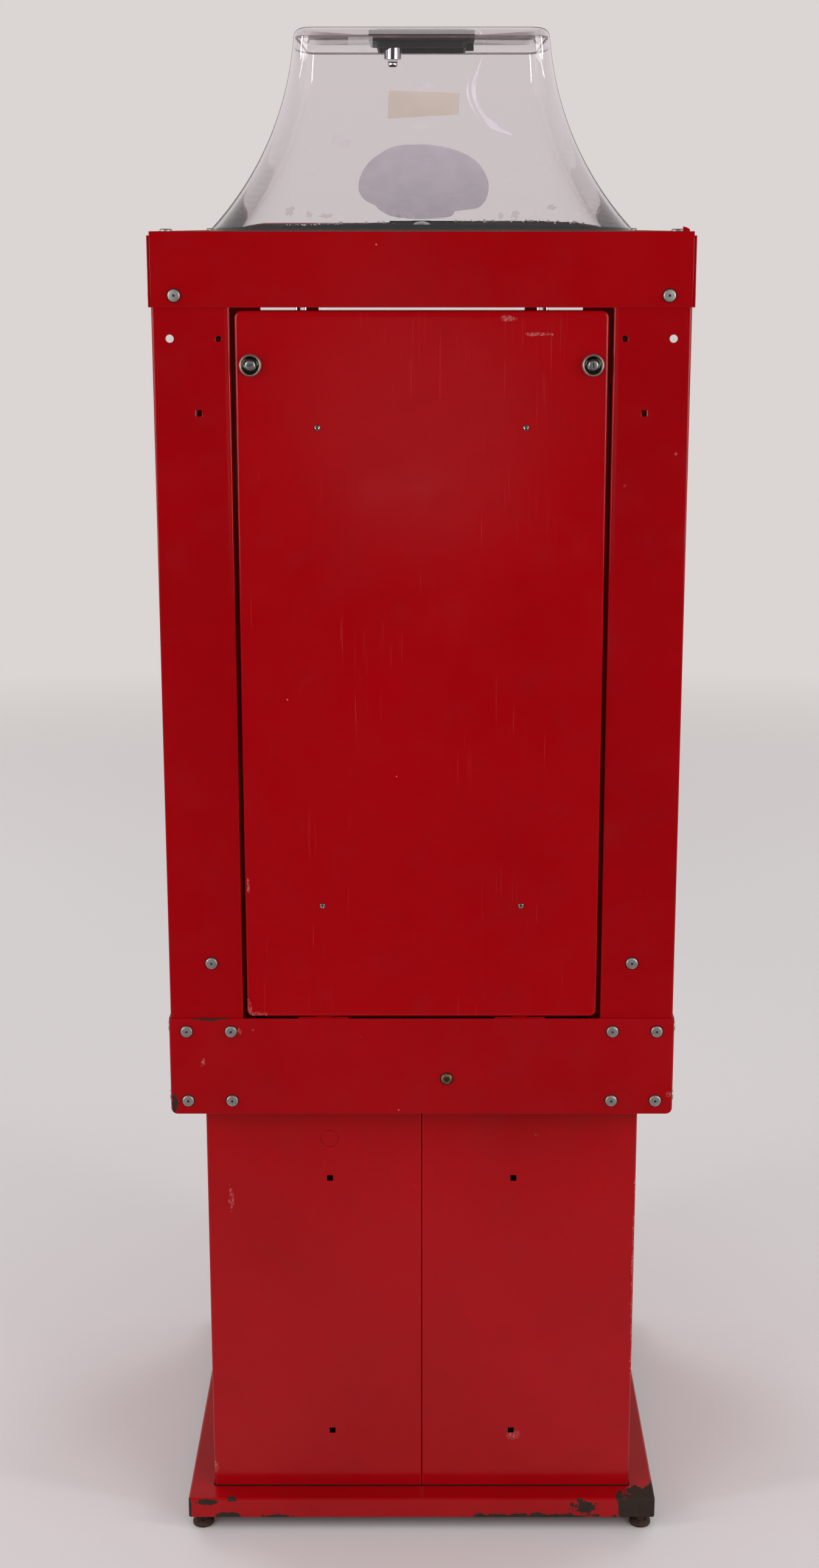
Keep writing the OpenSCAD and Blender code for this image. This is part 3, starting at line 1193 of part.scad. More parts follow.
// Strikes on the columns for the lock cams, and stop tabs that hang from the collar
module door_keeps() color(red) in_frame() both_sides() {
  keep_top = z_collar + 12;
  translate([strike_x - 10, strike_y - sheet, lock_z - 20]) cube([10, sheet, keep_top - lock_z + 20]);
  translate([strike_x - 33, strike_y - sheet, door_z1 - 13]) cube([33, sheet, keep_top - door_z1 + 13]);
  translate([stop_x - stop_w / 2, stop_y - sheet, door_z1 - 17])
    cube([stop_w, sheet, keep_top + sheet - door_z1 + 17]);
  translate([stop_x - stop_w / 2, stop_y - sheet, keep_top])
    cube([stop_w, half - stop_y + sheet, sheet]);
}

leveling_feet();
base_pan();
right_pedestal_shell();
left_pedestal_shell();
cabinet_floor();
lower_skirt();
rear_lower_band();
right_rear_column();
left_rear_column();
right_front_post();
left_front_post();
front_window();
right_window();
left_window();
floor_rails();
display_floor();
rear_collar_band();
collar_skirt();
hopper_deck();
top_frame();
dome_gasket();
dome();
rear_bolts();
cabinet_bolts();
wheel_deck();
wheel_spindle();
dispensing_wheel();
ring_gear();
pocket_guard();
drop_tube();
track_section_1();
track_section_2();
track_section_3();
track_stays();
track_clips();
exit_chute();
chute_frame();
chute_flap();
coin_plate();
coin_mech_body();
coin_handle();
coin_shaft();
coin_gear();
crown_gear();
drive_rod();
rod_pinion();
rod_bushes();
cash_tray();
door_panel();
door_hinge_leaves();
door_hinges();
door_stiffeners();
door_rivets();
door_lock_bodies();
right_lock_plug();
left_lock_plug();
door_keeps();
fill_lid();
lid_lock_body();
lid_lock_cam();
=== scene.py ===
"""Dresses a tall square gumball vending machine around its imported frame.

The machine is seen from its service side, which faces +Y. Shapes are worked out in millimetres
about the cabinet's own axis, and go into their meshes in metres in the frame's place.
"""

import logging
import math
from dataclasses import dataclass, field
from enum import Enum
from functools import partial
from typing import ClassVar, Optional, Sequence, Union

import bmesh
import bpy
import numpy as np
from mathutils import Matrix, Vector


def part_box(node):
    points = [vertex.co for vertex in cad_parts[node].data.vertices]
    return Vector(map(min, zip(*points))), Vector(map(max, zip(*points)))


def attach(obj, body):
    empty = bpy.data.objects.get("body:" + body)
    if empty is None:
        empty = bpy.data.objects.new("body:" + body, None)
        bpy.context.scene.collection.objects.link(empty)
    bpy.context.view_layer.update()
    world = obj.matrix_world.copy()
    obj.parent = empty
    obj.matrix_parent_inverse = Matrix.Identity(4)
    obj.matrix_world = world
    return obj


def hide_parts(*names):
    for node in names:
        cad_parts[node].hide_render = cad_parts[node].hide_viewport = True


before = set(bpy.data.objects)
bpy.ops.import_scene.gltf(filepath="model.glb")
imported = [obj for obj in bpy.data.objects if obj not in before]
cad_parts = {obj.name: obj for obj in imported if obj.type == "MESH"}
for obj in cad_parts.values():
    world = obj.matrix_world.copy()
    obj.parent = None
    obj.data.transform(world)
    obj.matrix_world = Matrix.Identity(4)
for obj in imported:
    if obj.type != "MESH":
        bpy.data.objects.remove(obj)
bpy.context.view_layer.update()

LOG = logging.getLogger("gumball_machine")
MM = 0.001  # Metres in a millimetre
TINY = 1e-4  # Millimetres under which two places are the same
MERGE = 3e-6  # Metres under which two points of a mesh become one
Array = np.ndarray
Tree = bpy.types.NodeTree
Socket = bpy.types.NodeSocket
Feed = Union[float, tuple, Socket]


class Facing(Enum):
    """Ways that a turned piece points: the directions of its own X, Y and Z."""

    REAR = ((1, 0, 0), (0, 0, -1), (0, 1, 0))
    FRONT = ((1, 0, 0), (0, 0, 1), (0, -1, 0))
    RIGHT = ((0, 1, 0), (0, 0, 1), (1, 0, 0))
    LEFT = ((0, -1, 0), (0, 0, 1), (-1, 0, 0))
    UP = ((1, 0, 0), (0, 1, 0), (0, 0, 1))


class Slot(Enum):
    """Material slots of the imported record."""

    RED = "red_paint"
    ZINC = "zinc_steel"
    CHROME = "chrome"
    CLEAR = "clear_plastic"
    BLACK = "black_plastic"
    WHITE = "white_plastic"
    FOAM = "black_foam"


@dataclass(frozen=True)
class Extent:
    """Lowest and highest corner of a frame node, in millimetres about the cabinet's axis."""

    low: Array
    high: Array

    @classmethod
    def of(cls, node: str) -> "Extent":
        """Reads a node's corners from the frame.

        Args:
            node: Name of the node.

        Returns:
            Its extent.
        """
        low, high = (np.array(corner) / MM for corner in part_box(node))
        shift = np.array([0.0, AXIS_Y, 0.0])
        return cls(low - shift, high - shift)


AXIS_Y = 0.0
AXIS_Y = float((Extent.of("hopper_deck").low + Extent.of("hopper_deck").high)[1] / 2)


# Surfaces


@dataclass
class Shell:
    """Points and faces of a surface, in millimetres."""

    points: Array  # (n, 3) points
    # (q, 4) point numbers, anticlockwise from outside
    quads: Array = field(default_factory=lambda: np.zeros((0, 4), int))
    # (t, 3) point numbers, anticlockwise from outside
    tris: Array = field(default_factory=lambda: np.zeros((0, 3), int))

    @staticmethod
    def joined(*shells: "Shell") -> "Shell":
        """Puts several surfaces into one, without merging their points.

        Args:
            *shells: The surfaces.

        Returns:
            The one surface.
        """
        starts = np.cumsum([0] + [len(s.points) for s in shells[:-1]])
        return Shell(
            np.vstack([s.points for s in shells]),
            np.vstack([s.quads + n for s, n in zip(shells, starts)]),
            np.vstack([s.tris + n for s, n in zip(shells, starts)]),
        )

    def moved(self, x: float = 0.0, y: float = 0.0, z: float = 0.0) -> "Shell":
        """Shifts the surface by (x, y, z)."""
        return Shell(self.points + np.array([x, y, z]), self.quads, self.tris)

    def turned(self, columns: Sequence[Sequence[float]]) -> "Shell":
        """Turns the surface: local X, Y and Z go to the three given directions."""
        return Shell(self.points @ np.array(columns, float), self.quads, self.tris)

    def mirrored(self) -> "Shell":
        """Mirrors the surface in the plane X = 0, with its faces still outwards."""
        flip = np.array([-1.0, 1.0, 1.0])
        return Shell(self.points * flip, self.quads[:, ::-1], self.tris[:, ::-1])

    def repeated(self, places: Array, turns: Optional[Array] = None) -> "Shell":
        """Copies the surface to every place.

        Args:
            places: (k, 3) shifts.
            turns: (k, 3, 3) directions of local X, Y and Z for each copy, or None for none.

        Returns:
            All the copies in one surface.
        """
        count = len(places)
        base = self.points[None]
        if turns is not None:
            base = np.einsum("ni,kij->knj", self.points, turns)
        points = (base + np.asarray(places, float)[:, None]).reshape(-1, 3)
        step = (np.arange(count) * len(self.points))[:, None, None]
        quads, tris = ((faces[None] + step) for faces in (self.quads, self.tris))
        return Shell(points, quads.reshape(-1, 4), tris.reshape(-1, 3))

    def welded(self) -> tuple["Shell", Array]:
        """Merges equal points, and turns a quad that has two of them into a triangle.

        Returns:
            The merged surface, and for each of its points the number of a point it came from.
        """
        _, first, back = np.unique(
            np.round(self.points, 3), axis=0, return_index=True, return_inverse=True
        )
        quads, tris = back.ravel()[self.quads], back.ravel()[self.tris]
        same = quads == np.roll(quads, -1, axis=1)
        thin = same.any(axis=1)
        others = (same[thin].argmax(axis=1)[:, None] + np.arange(1, 4)) % 4
        tris = np.vstack([tris, np.take_along_axis(quads[thin], others, axis=1)])
        return Shell(self.points[first], quads[~thin], tris), first

    def border(self) -> Array:
        """Lists the edges that only one face has.

        Returns:
            (n, 2) point numbers, each pair in its face's direction.
        """
        rings = [np.stack([f, np.roll(f, -1, axis=1)], axis=-1) for f in (self.quads, self.tris)]
        edges = np.vstack([r.reshape(-1, 2) for r in rings])
        _, index, count = np.unique(
            np.sort(edges, axis=1), axis=0, return_index=True, return_counts=True
        )
        return edges[index[count == 1]]

    def closed_with(self, inner: Array) -> "Shell":
        """Gives an open skin its inner face and the walls along its edges.

        Args:
            inner: (n, 3) points of the inner face, one for each point of the skin.

        Returns:
            A closed solid sheet.
        """
        count = len(self.points)
        a, b = self.border().T
        walls = np.stack([b, a, a + count, b + count], axis=1)
        return Shell(
            np.vstack([self.points, inner]),
            np.vstack([self.quads, self.quads[:, ::-1] + count, walls]),
            np.vstack([self.tris, self.tris[:, ::-1] + count]),
        )


def grid_quads(rows: int, cols: int, wrap: bool = False) -> Array:
    """Numbers the quads of a grid whose point (i, j) has number i * cols + j.

    Args:
        rows: Rows of points.
        cols: Points in a row.
        wrap: Whether the last column joins the first.

    Returns:
        (n, 4) point numbers.
    """
    i, j = np.meshgrid(np.arange(rows - 1), np.arange(cols if wrap else cols - 1), indexing="ij")
    ahead = (j + 1) % cols
    corners = [i * cols + j, i * cols + ahead, (i + 1) * cols + ahead, (i + 1) * cols + j]
    return np.stack(corners, axis=-1).reshape(-1, 4)


def eased(rows: Sequence[Sequence[float]], steps: int = 3) -> Array:
    """Rounds the inner corners of an open line of 2-D points.

    Each corner P becomes the quadratic curve (1-t)^2 A + 2t(1-t) P + t^2 B, where A and B lie at
    reach from P on its two sides.

    Args:
        rows: (x, y, reach) of each point of the line.
        steps: Pieces in each curve.

    Returns:
        (n, 2) points of the rounded line.
    """
    p, room = np.split(np.array(rows, float), [2], axis=1)
    room = room[:, 0]
    room[[0, -1]] = 0.0
    sides = []
    for neighbour in (np.roll(p, 1, axis=0), np.roll(p, -1, axis=0)):
        way = neighbour - p
        length = np.maximum(np.linalg.norm(way, axis=1), TINY)
        sides.append(p + way * (np.minimum(room, 0.49 * length) / length)[:, None])
    t = np.linspace(0.0, 1.0, steps + 1)[None, :, None]
    before, after = (s[:, None] for s in sides)
    curve = (1 - t) ** 2 * before + 2 * t * (1 - t) * p[:, None] + t**2 * after
    line = curve.reshape(-1, 2)
    keep = np.r_[True, np.linalg.norm(np.diff(line, axis=0), axis=1) > TINY]
    return line[keep]


def revolved(profile: Union[Array, Sequence], steps: int = 32) -> Shell:
    """Turns a profile about Z: (r, z) goes to (r cos a, r sin a, z) for every angle a.

    Args:
        profile: (n, 2) radii and heights, listed so that the outside is on the right.
        steps: Steps round the axis.

    Returns:
        The surface of revolution.
    """
    a = np.linspace(0.0, 2 * np.pi, steps, endpoint=False)
    r, z = np.split(np.asarray(profile, float), 2, axis=1)
    points = np.stack([r * np.cos(a), r * np.sin(a), z + 0 * a], axis=-1)
    return Shell(points.reshape(-1, 3), grid_quads(len(profile), steps, wrap=True))


def square_loops(half: Array, corner: Array, height: Array, steps: int = 8) -> Array:
    """Rounded squares at several heights.

    One corner is (half - corner) + corner (cos a, sin a) for a from 0 to 90 degrees, and the other
    three are its quarter turns.

    Args:
        half: (m,) half-widths.
        corner: (m,) corner radii.
        height: (m,) heights.
        steps: Pieces in each corner.

    Returns:
        (m, 4 * (steps + 1), 3) points.
    """
    a = np.linspace(0.0, np.pi / 2, steps + 1)
    half, corner, height = (np.asarray(v, float)[:, None] for v in (half, corner, height))
    x = half - corner + corner * np.cos(a)
    y = half - corner + corner * np.sin(a)
    loop_x = np.concatenate([x, -y, -x, y], axis=1)
    loop_y = np.concatenate([y, x, -y, -x], axis=1)
    return np.stack([loop_x, loop_y, height + 0 * loop_x], axis=-1)


def lofted(loops: Array, close: bool = False, caps: bool = False) -> Shell:
    """Joins loops of equal length into one surface.

    Args:
        loops: (m, n, 3) points.
        close: Whether the last loop joins the first.
        caps: Whether each end is filled by a fan about its middle.

    Returns:
        The surface.
    """
    if caps:
        ends = [np.broadcast_to(e.mean(axis=0), e.shape)[None] for e in (loops[0], loops[-1])]
        loops = np.concatenate([ends[0], loops, ends[1]])
    if close:
        loops = np.concatenate([loops, loops[:1]])
    rows, cols = loops.shape[:2]
    return Shell(loops.reshape(-1, 3), grid_quads(rows, cols, wrap=True))


def block(low: Sequence[float], high: Sequence[float], ease: float = 0.0) -> Shell:
    """A rectangular bar whose upright edges are rounded by ease.

    Args:
        low: Lowest corner.
        high: Highest corner.
        ease: Radius of its upright edges.

    Returns:
        The closed surface.
    """
    low, high = np.asarray(low, float), np.asarray(high, float)
    size = high - low
    steps = 3 if ease > 0 else 0
    a = np.linspace(0.0, np.pi / 2, steps + 1)
    corners = []
    for k, (sx, sy) in enumerate([(1, 1), (-1, 1), (-1, -1), (1, -1)]):
        centre = np.array([sx * (size[0] / 2 - ease), sy * (size[1] / 2 - ease)])
        way = a + k * np.pi / 2
        corners.append(centre + ease * np.stack([np.cos(way), np.sin(way)], axis=-1))
    loop = np.concatenate(corners) + (low + size / 2)[:2]
    levels = [np.column_stack([loop, np.full(len(loop), z)]) for z in (low[2], high[2])]
    return lofted(np.stack(levels), caps=True)


@dataclass(frozen=True)
class Punch:
    """A hole or a pressed mark in a flat blank."""

    u: float  # Place along the blank
    v: float  # Place across the blank
    size: float  # Diameter, or side of a square hole
    square: bool = False  # Whether it is square
    # (share of the half size, height) of further rings towards its middle; a share of 0 closes it
    rings: tuple[tuple[float, float], ...] = ()
    margin: ClassVar[float] = 2.5  # Width of the sheet round it that is fitted to it

    @property
    def cell(self) -> float:
        """Half the side of the square of sheet round it."""
        return self.size / 2 + self.margin

    def patch(self, u_lines: Array, v_lines: Array) -> Shell:
        """Fills the square of sheet round the hole.

        The square's corners and the sheet's own points on its sides make the outer ring, in order
        of direction. Each side of the ring joins the rim's first point past its middle direction,
        and each side of the rim joins the ring's point between the two such directions about it.

        Args:
            u_lines: Where the whole sheet is divided along its length.
            v_lines: Where it is divided across.

        Returns:
            The open surface.
        """
        c = self.cell
        ring = [np.array([(-c, -c), (c, -c), (c, c), (-c, c)])]
        for axis, lines in enumerate((u_lines - self.u, v_lines - self.v)):
            inner = lines[np.abs(lines) < c - TINY]
            for side in (-c, c):
                pair = np.column_stack([inner, np.full(len(inner), side)])
                ring.append(pair if axis == 0 else pair[:, ::-1])
        outer = np.vstack(ring)
        turn = np.round(np.arctan2(outer[:, 1], outer[:, 0]) + 0.75 * np.pi, 9) % (2 * np.pi)
        order = np.argsort(turn)
        outer, turn = outer[order], turn[order]
        middle = (turn + np.r_[turn[1:], 2 * np.pi]) / 2
        count = 8 if self.square else 24
        at = 2 * np.pi * np.arange(count) / count
        way = np.stack([np.cos(at - 0.75 * np.pi), np.sin(at - 0.75 * np.pi)], axis=-1)
        if self.square:
            way = way / np.abs(way).max(axis=1, keepdims=True)
        levels = ((1.0, 0.0),) + self.rings
        rims = [np.column_stack([way * s * self.size / 2, np.full(count, w)]) for s, w in levels]
        number = len(outer)
        i, j = np.arange(number), np.arange(count)
        past = np.searchsorted(middle, at, side="right") % number
        first = np.searchsorted(at, middle) % count
        bridges = np.stack([i, (i + 1) % number, number + first], axis=-1)
        spokes = np.stack([number + (j + 1) % count, number + j, past], axis=-1)
        points = np.vstack([np.column_stack([outer, np.zeros(number)])] + rims)
        quads = grid_quads(len(levels), count, wrap=True) + number
        return Shell(points, quads, np.vstack([bridges, spokes])).moved(self.u, self.v)


def blank_sheet(
    u_lines: Sequence[float],
    v_lines: Sequence[float],
    punches: Sequence[Punch] = (),
    windows: Sequence[tuple[float, float, float, float]] = (),
) -> Shell:
    """A flat blank in the plane of u and v, with holes and marks.

    Args:
        u_lines: Where the blank is divided along its length, from end to end.
        v_lines: Where it is divided across, from edge to edge.
        punches: Holes and marks.
        windows: Rectangular openings (u0, u1, v0, v1).

    Returns:
        The open surface, with its points as (u, v, height).
    """
    cells = [(p.u - p.cell, p.u + p.cell, p.v - p.cell, p.v + p.cell) for p in punches]
    cuts = cells + list(windows)
    lines = []
    for k, own in ((0, u_lines), (2, v_lines)):
        edges = [c[k + e] for c in cuts for e in (0, 1)]
        lines.append(np.unique(np.round(np.r_[np.asarray(own, float), edges], 4)))
    u, v = np.meshgrid(*lines)
    points = np.stack([u, v, 0 * u], axis=-1).reshape(-1, 3)
    quads = grid_quads(len(lines[1]), len(lines[0]))
    middle = points[quads].mean(axis=1)
    keep = np.ones(len(quads), bool)
    for u0, u1, v0, v1 in cuts:
        hit = (middle[:, 0] > u0) & (middle[:, 0] < u1) & (middle[:, 1] > v0) & (middle[:, 1] < v1)
        keep &= ~hit
    flat = Shell(points, quads[keep])
    return Shell.joined(flat, *[p.patch(*lines) for p in punches]).welded()[0]


@dataclass(frozen=True)
class FoldLine:
    """The line that a folded sheet's outer face follows, seen from above.

    Flats are joined by right-angled bends to the left, and the outside is on the right.
    """

    start: tuple[float, float]  # First point (x, y)
    heading: float  # Direction of the first flat, in degrees
    flats: tuple[float, ...]
    radius: float = 3.0  # Outside radius of the bends

    @property
    def bend(self) -> float:
        """Length of a bend along the outer face."""
        return self.radius * math.pi / 2

    def along(self, flat: int, distance: float) -> float:
        """Place along the blank of a point at a distance from the start of a flat."""
        return sum(self.flats[:flat]) + flat * self.bend + distance

    def lines(self, steps: int = 5) -> Array:
        """Places along the blank where it is divided: the ends of flats and the bends' steps.

        Args:
            steps: Pieces in a bend.

        Returns:
            The places.
        """
        marks = [0.0]
        for k, flat in enumerate(self.flats):
            end = self.along(k, flat)
            marks.append(end)
            if k < len(self.flats) - 1:
                marks.extend(end + self.bend * np.arange(1, steps + 1) / steps)
        return np.array(marks)

    def place(self, blank: Array) -> Array:
        """Carries blank points (u, v, w) round the bends.

        On a flat, (u, v, w) goes to P + (u - u0) ahead + w out. In a bend of radius R about C it
        goes to C + (R + w) (cos a, sin a), with a growing by (u - u0) / R. The height is v.

        Args:
            blank: (n, 3) points.

        Returns:
            (n, 3) points in space.
        """
        u, v, w = blank.T
        space = np.zeros_like(blank)
        space[:, 2] = v
        here = np.array(self.start, float)
        head = math.radians(self.heading)
        for k, flat in enumerate(self.flats):
            begin = self.along(k, 0.0)
            ahead = np.array([math.cos(head), math.sin(head)])
            out = np.array([ahead[1], -ahead[0]])
            last = k == len(self.flats) - 1
            on = (u >= begin - TINY) & ((u <= begin + flat + TINY) | last)
            space[on, :2] = here + (u[on] - begin)[:, None] * ahead + w[on, None] * out
            here = here + flat * ahead
            centre = here - self.radius * out
            on = (u > begin + flat + TINY) & (u < begin + flat + self.bend - TINY) & (not last)
            a = math.atan2(out[1], out[0]) + (u[on] - begin - flat) / self.radius
            reach = (self.radius + w[on])[:, None]
            space[on, :2] = centre + reach * np.stack([np.cos(a), np.sin(a)], axis=-1)
            head += math.pi / 2
            here = centre + self.radius * np.array([math.sin(head), -math.cos(head)])
        return space


def folded(
    line: FoldLine,
    v_lines: Sequence[float],
    thickness: float,
    punches: Sequence[Punch] = (),
    windows: Sequence[tuple[float, float, float, float]] = (),
    cuts: Sequence[float] = (),
) -> Shell:
    """Folds a flat blank along a line and gives it its thickness.

    Args:
        line: The line of its outer face.
        v_lines: Heights where it is divided.
        thickness: Thickness of the sheet, inwards.
        punches: Holes and marks.
        windows: Rectangular openings.
        cuts: Further places along the blank where it is divided.

    Returns:
        The closed sheet.
    """
    flat = blank_sheet(np.r_[line.lines(), np.asarray(cuts, float)], v_lines, punches, windows)
    inner = line.place(flat.points - np.array([0.0, 0.0, thickness]))
    return Shell(line.place(flat.points), flat.quads, flat.tris).closed_with(inner)


@dataclass(frozen=True)
class Pan:
    """A sheet with all four edges bent down: its face is flat and its corners are rounded."""

    low: tuple[float, float]  # Lowest (u, v) of its outline
    high: tuple[float, float]  # Highest (u, v) of its outline
    corner: float
    radius: float
    depth: float
    thickness: float
    punches: tuple[Punch, ...] = ()
    fan_steps: ClassVar[int] = 6  # Steps in each corner

    def face(self) -> Shell:
        """The flat face inside the bends: a grid whose corners are fans about their centres.

        Returns:
            The open surface.
        """
        c = self.corner - self.radius
        (u0, v0), (u1, v1) = np.array(self.low) + self.radius, np.array(self.high) - self.radius
        corners = [
            (u0, u0 + c, v0, v0 + c), (u1 - c, u1, v0, v0 + c), (u1 - c, u1, v1 - c, v1),
            (u0, u0 + c, v1 - c, v1),
        ]
        lines = [u0, u0 + c, u1 - c, u1], [v0, v0 + c, v1 - c, v1]
        flat = blank_sheet(*lines, self.punches, corners)
        k = np.arange(self.fan_steps)
        fans = []
        for u, v, first in (
            (u0 + c, v0 + c, 180), (u1 - c, v0 + c, 270), (u1 - c, v1 - c, 0), (u0 + c, v1 - c, 90),
        ):
            a = np.radians(first + 90 * np.arange(self.fan_steps + 1) / self.fan_steps)
            rim = np.column_stack([u + c * np.cos(a), v + c * np.sin(a), 0 * a])
            tris = np.stack([0 * k, k + 1, k + 2], axis=-1)
            fans.append(Shell(np.vstack([[u, v, 0.0], rim]), tris=tris))
        return Shell.joined(flat, *fans).welded()[0]

    def shell(self) -> Shell:
        """Builds the pan.

        From each point P of the face's outline, the bend runs to P + R sin a out - R (1 - cos a)
        down, and the edge goes on down to the depth.

        Returns:
            The closed sheet, as (u, v, height) with the face at height zero.
        """
        face = self.face()
        low = np.array(self.low) + self.corner
        high = np.array(self.high) - self.corner
        flat = face.points[:, :2]
        away = flat - np.clip(flat, low, high)
        reach = np.linalg.norm(away, axis=1)
        edge = face.border()
        edge = edge[(reach[edge] > self.corner - self.radius - 0.01).all(axis=1)]
        rim = np.unique(edge)
        number = np.full(len(flat), -1)
        number[rim] = np.arange(len(rim))
        out = away[rim] / reach[rim, None]
        a = np.radians(np.linspace(0, 90, 6))[1:]
        skins = []
        for radius, top in ((self.radius, 0.0), (self.radius - self.thickness, -self.thickness)):
            levels = [(radius * math.sin(x), top - radius * (1 - math.cos(x))) for x in a]
            levels.append((radius, -self.depth))
            rings = [np.column_stack([flat, np.full(len(flat), top)])]
            for s, h in levels:
                rings.append(np.column_stack([flat[rim] + s * out, np.full(len(rim), h)]))
            skins.append(np.vstack(rings))
        start, end = number[edge[:, 0]], number[edge[:, 1]]
        quads = [np.stack([edge[:, 1], edge[:, 0], len(flat) + start, len(flat) + end], axis=-1)]
        for k in range(len(a)):
            this = len(flat) + k * len(rim)
            below = this + len(rim)
            quads.append(np.stack([this + end, this + start, below + start, below + end], axis=-1))
        outer = Shell(skins[0], np.vstack([face.quads] + quads), face.tris)
        return outer.closed_with(skins[1])


# Finishes


def srgb(code: str) -> tuple[float, float, float, float]:
    """Turns an sRGB hex code into a linear colour.

    A channel v becomes v / 12.92 up to 0.04045, and ((v + 0.055) / 1.055)^2.4 above it.

    Args:
        code: The code, such as "#A81014".

    Returns:
        Red, green, blue and alpha.
    """
    v = np.array([int(code[i : i + 2], 16) for i in (1, 3, 5)]) / 255
    linear = np.where(v <= 0.04045, v / 12.92, ((v + 0.055) / 1.055) ** 2.4)
    return (*map(float, linear), 1.0)


class Kind(Enum):
    """Kinds of node: Blender's type, the inputs that feeds go to in turn, the output, settings."""

    NOISE = ("TexNoise", ("Vector", "Scale", "Detail"), "Fac", {})
    CELLS = ("TexVoronoi", ("Vector", "Scale"), "Distance", {})
    MAPPED = ("Mapping", ("Vector", "Scale", "Location"), "Vector", {})
    RANGE = ("MapRange", ("Value", 1, 2, 3, 4), "Result", {})
    BLEND = ("Mix", (0, 6, 7), 2, {"data_type": "RGBA"})
    TIMES = ("Math", (0, 1), 0, {"operation": "MULTIPLY"})
    PLUS = ("Math", (0, 1), 0, {"operation": "ADD"})
    MINUS = ("Math", (0, 1), 0, {"operation": "SUBTRACT"})
    LARGER = ("Math", (0, 1), 0, {"operation": "MAXIMUM"})
    BELOW = ("Math", (0, 1), 0, {"operation": "LESS_THAN"})
    ABOVE = ("Math", (0, 1), 0, {"operation": "GREATER_THAN"})
    LENGTH = ("VectorMath", (0,), "Value", {"operation": "LENGTH"})
    PARTS = ("SeparateXYZ", (0,), 0, {})
    PLACE = ("TexCoord", (), "Object", {})
    RAY = ("LightPath", (), "Is Camera Ray", {})
    BUMP = ("Bump", ("Height", "Distance", "Strength"), 0, {})
    EITHER = ("MixShader", (0, 1, 2), 0, {})
    SEE_THROUGH = ("BsdfTransparent", ("Color",), 0, {})
    ABSORBING = ("VolumeAbsorption", ("Color", "Density"), 0, {})
    SKY = ("Background", ("Color", "Strength"), 0, {})
    GLOW = ("Emission", ("Color",), 0, {})


def feed(tree: Tree, node: bpy.types.Node, feeds: dict[Union[str, int], Feed]) -> None:
    """Sets a node's inputs: an output is linked, and a constant goes on the input itself.

    Args:
        tree: The node tree.
        node: The node.
        feeds: For each input, by name or number, a value or the output that feeds it.
    """
    for key, value in feeds.items():
        if isinstance(value, Socket):
            tree.links.new(value, node.inputs[key])
        else:
            node.inputs[key].default_value = value


def add_node(tree: Tree, kind: Kind, *feeds: Feed, output: Union[str, int, None] = None) -> Socket:
    """Adds a node with its settings, values and links.

    Args:
        tree: The node tree.
        kind: The kind of node.
        *feeds: Values or outputs for its inputs, in the kind's order.
        output: Which output is wanted, if it isn't the kind's own.

    Returns:
        The output.
    """
    name, inputs, own_output, settings = kind.value
    node = tree.nodes.new("ShaderNode" + name)
    for key, value in settings.items():
        setattr(node, key, value)
    feed(tree, node, dict(zip(inputs, feeds)))
    return node.outputs[own_output if output is None else output]


def grains(size_mm: float) -> float:
    """Scale of a pattern on metres whose grains are size_mm wide."""
    return 1000.0 / size_mm


@dataclass(frozen=True)
class Finish:
    """A surface finish, which makes its material once."""

    name: str
    slot: Slot  # The record's slot that it belongs to
    made: ClassVar[dict[str, bpy.types.Material]] = {}  # Materials made, by name

    def material(self) -> bpy.types.Material:
        """Makes the material, or finds the one made before.

        Returns:
            The material.
        """
        if self.name not in Finish.made:
            material = bpy.data.materials.new(self.name)
            material.use_nodes = True
            tree = material.node_tree
            feed(tree, tree.nodes["Principled BSDF"], self.shade(tree, add_node(tree, Kind.PLACE)))
            Finish.made[self.name] = material
        return Finish.made[self.name]

    def shade(self, tree: Tree, place: Socket) -> dict[str, Feed]:
        """Adds the finish's own nodes.

        Args:
            tree: The material's node tree.
            place: The point's place on the object, in metres.

        Returns:
            What the principled shader's inputs get.
        """
        raise NotImplementedError


class Wear(Enum):
    """Kinds of wear on the paint."""

    RUST = "rust"
    SCUFF = "scuff"


@dataclass(frozen=True)
class WearMark:
    """A worn place on a painted piece, in millimetres about the cabinet's axis."""

    kind: Wear  # Whether the paint is gone or scuffed pale
    centre: tuple[float, float, float]
    reach: tuple[float, float, float]  # Its half sizes along X, Y and Z
    ragged: float  # How far its edge wanders, as a share of its reach
    grain: float  # Width of the edge's bays


def marks(kind: Wear, *rows: tuple) -> tuple[WearMark, ...]:
    """Lists worn places of one kind, from rows of (centre, reach, ragged, grain)."""
    return tuple(WearMark(kind, *row) for row in rows)


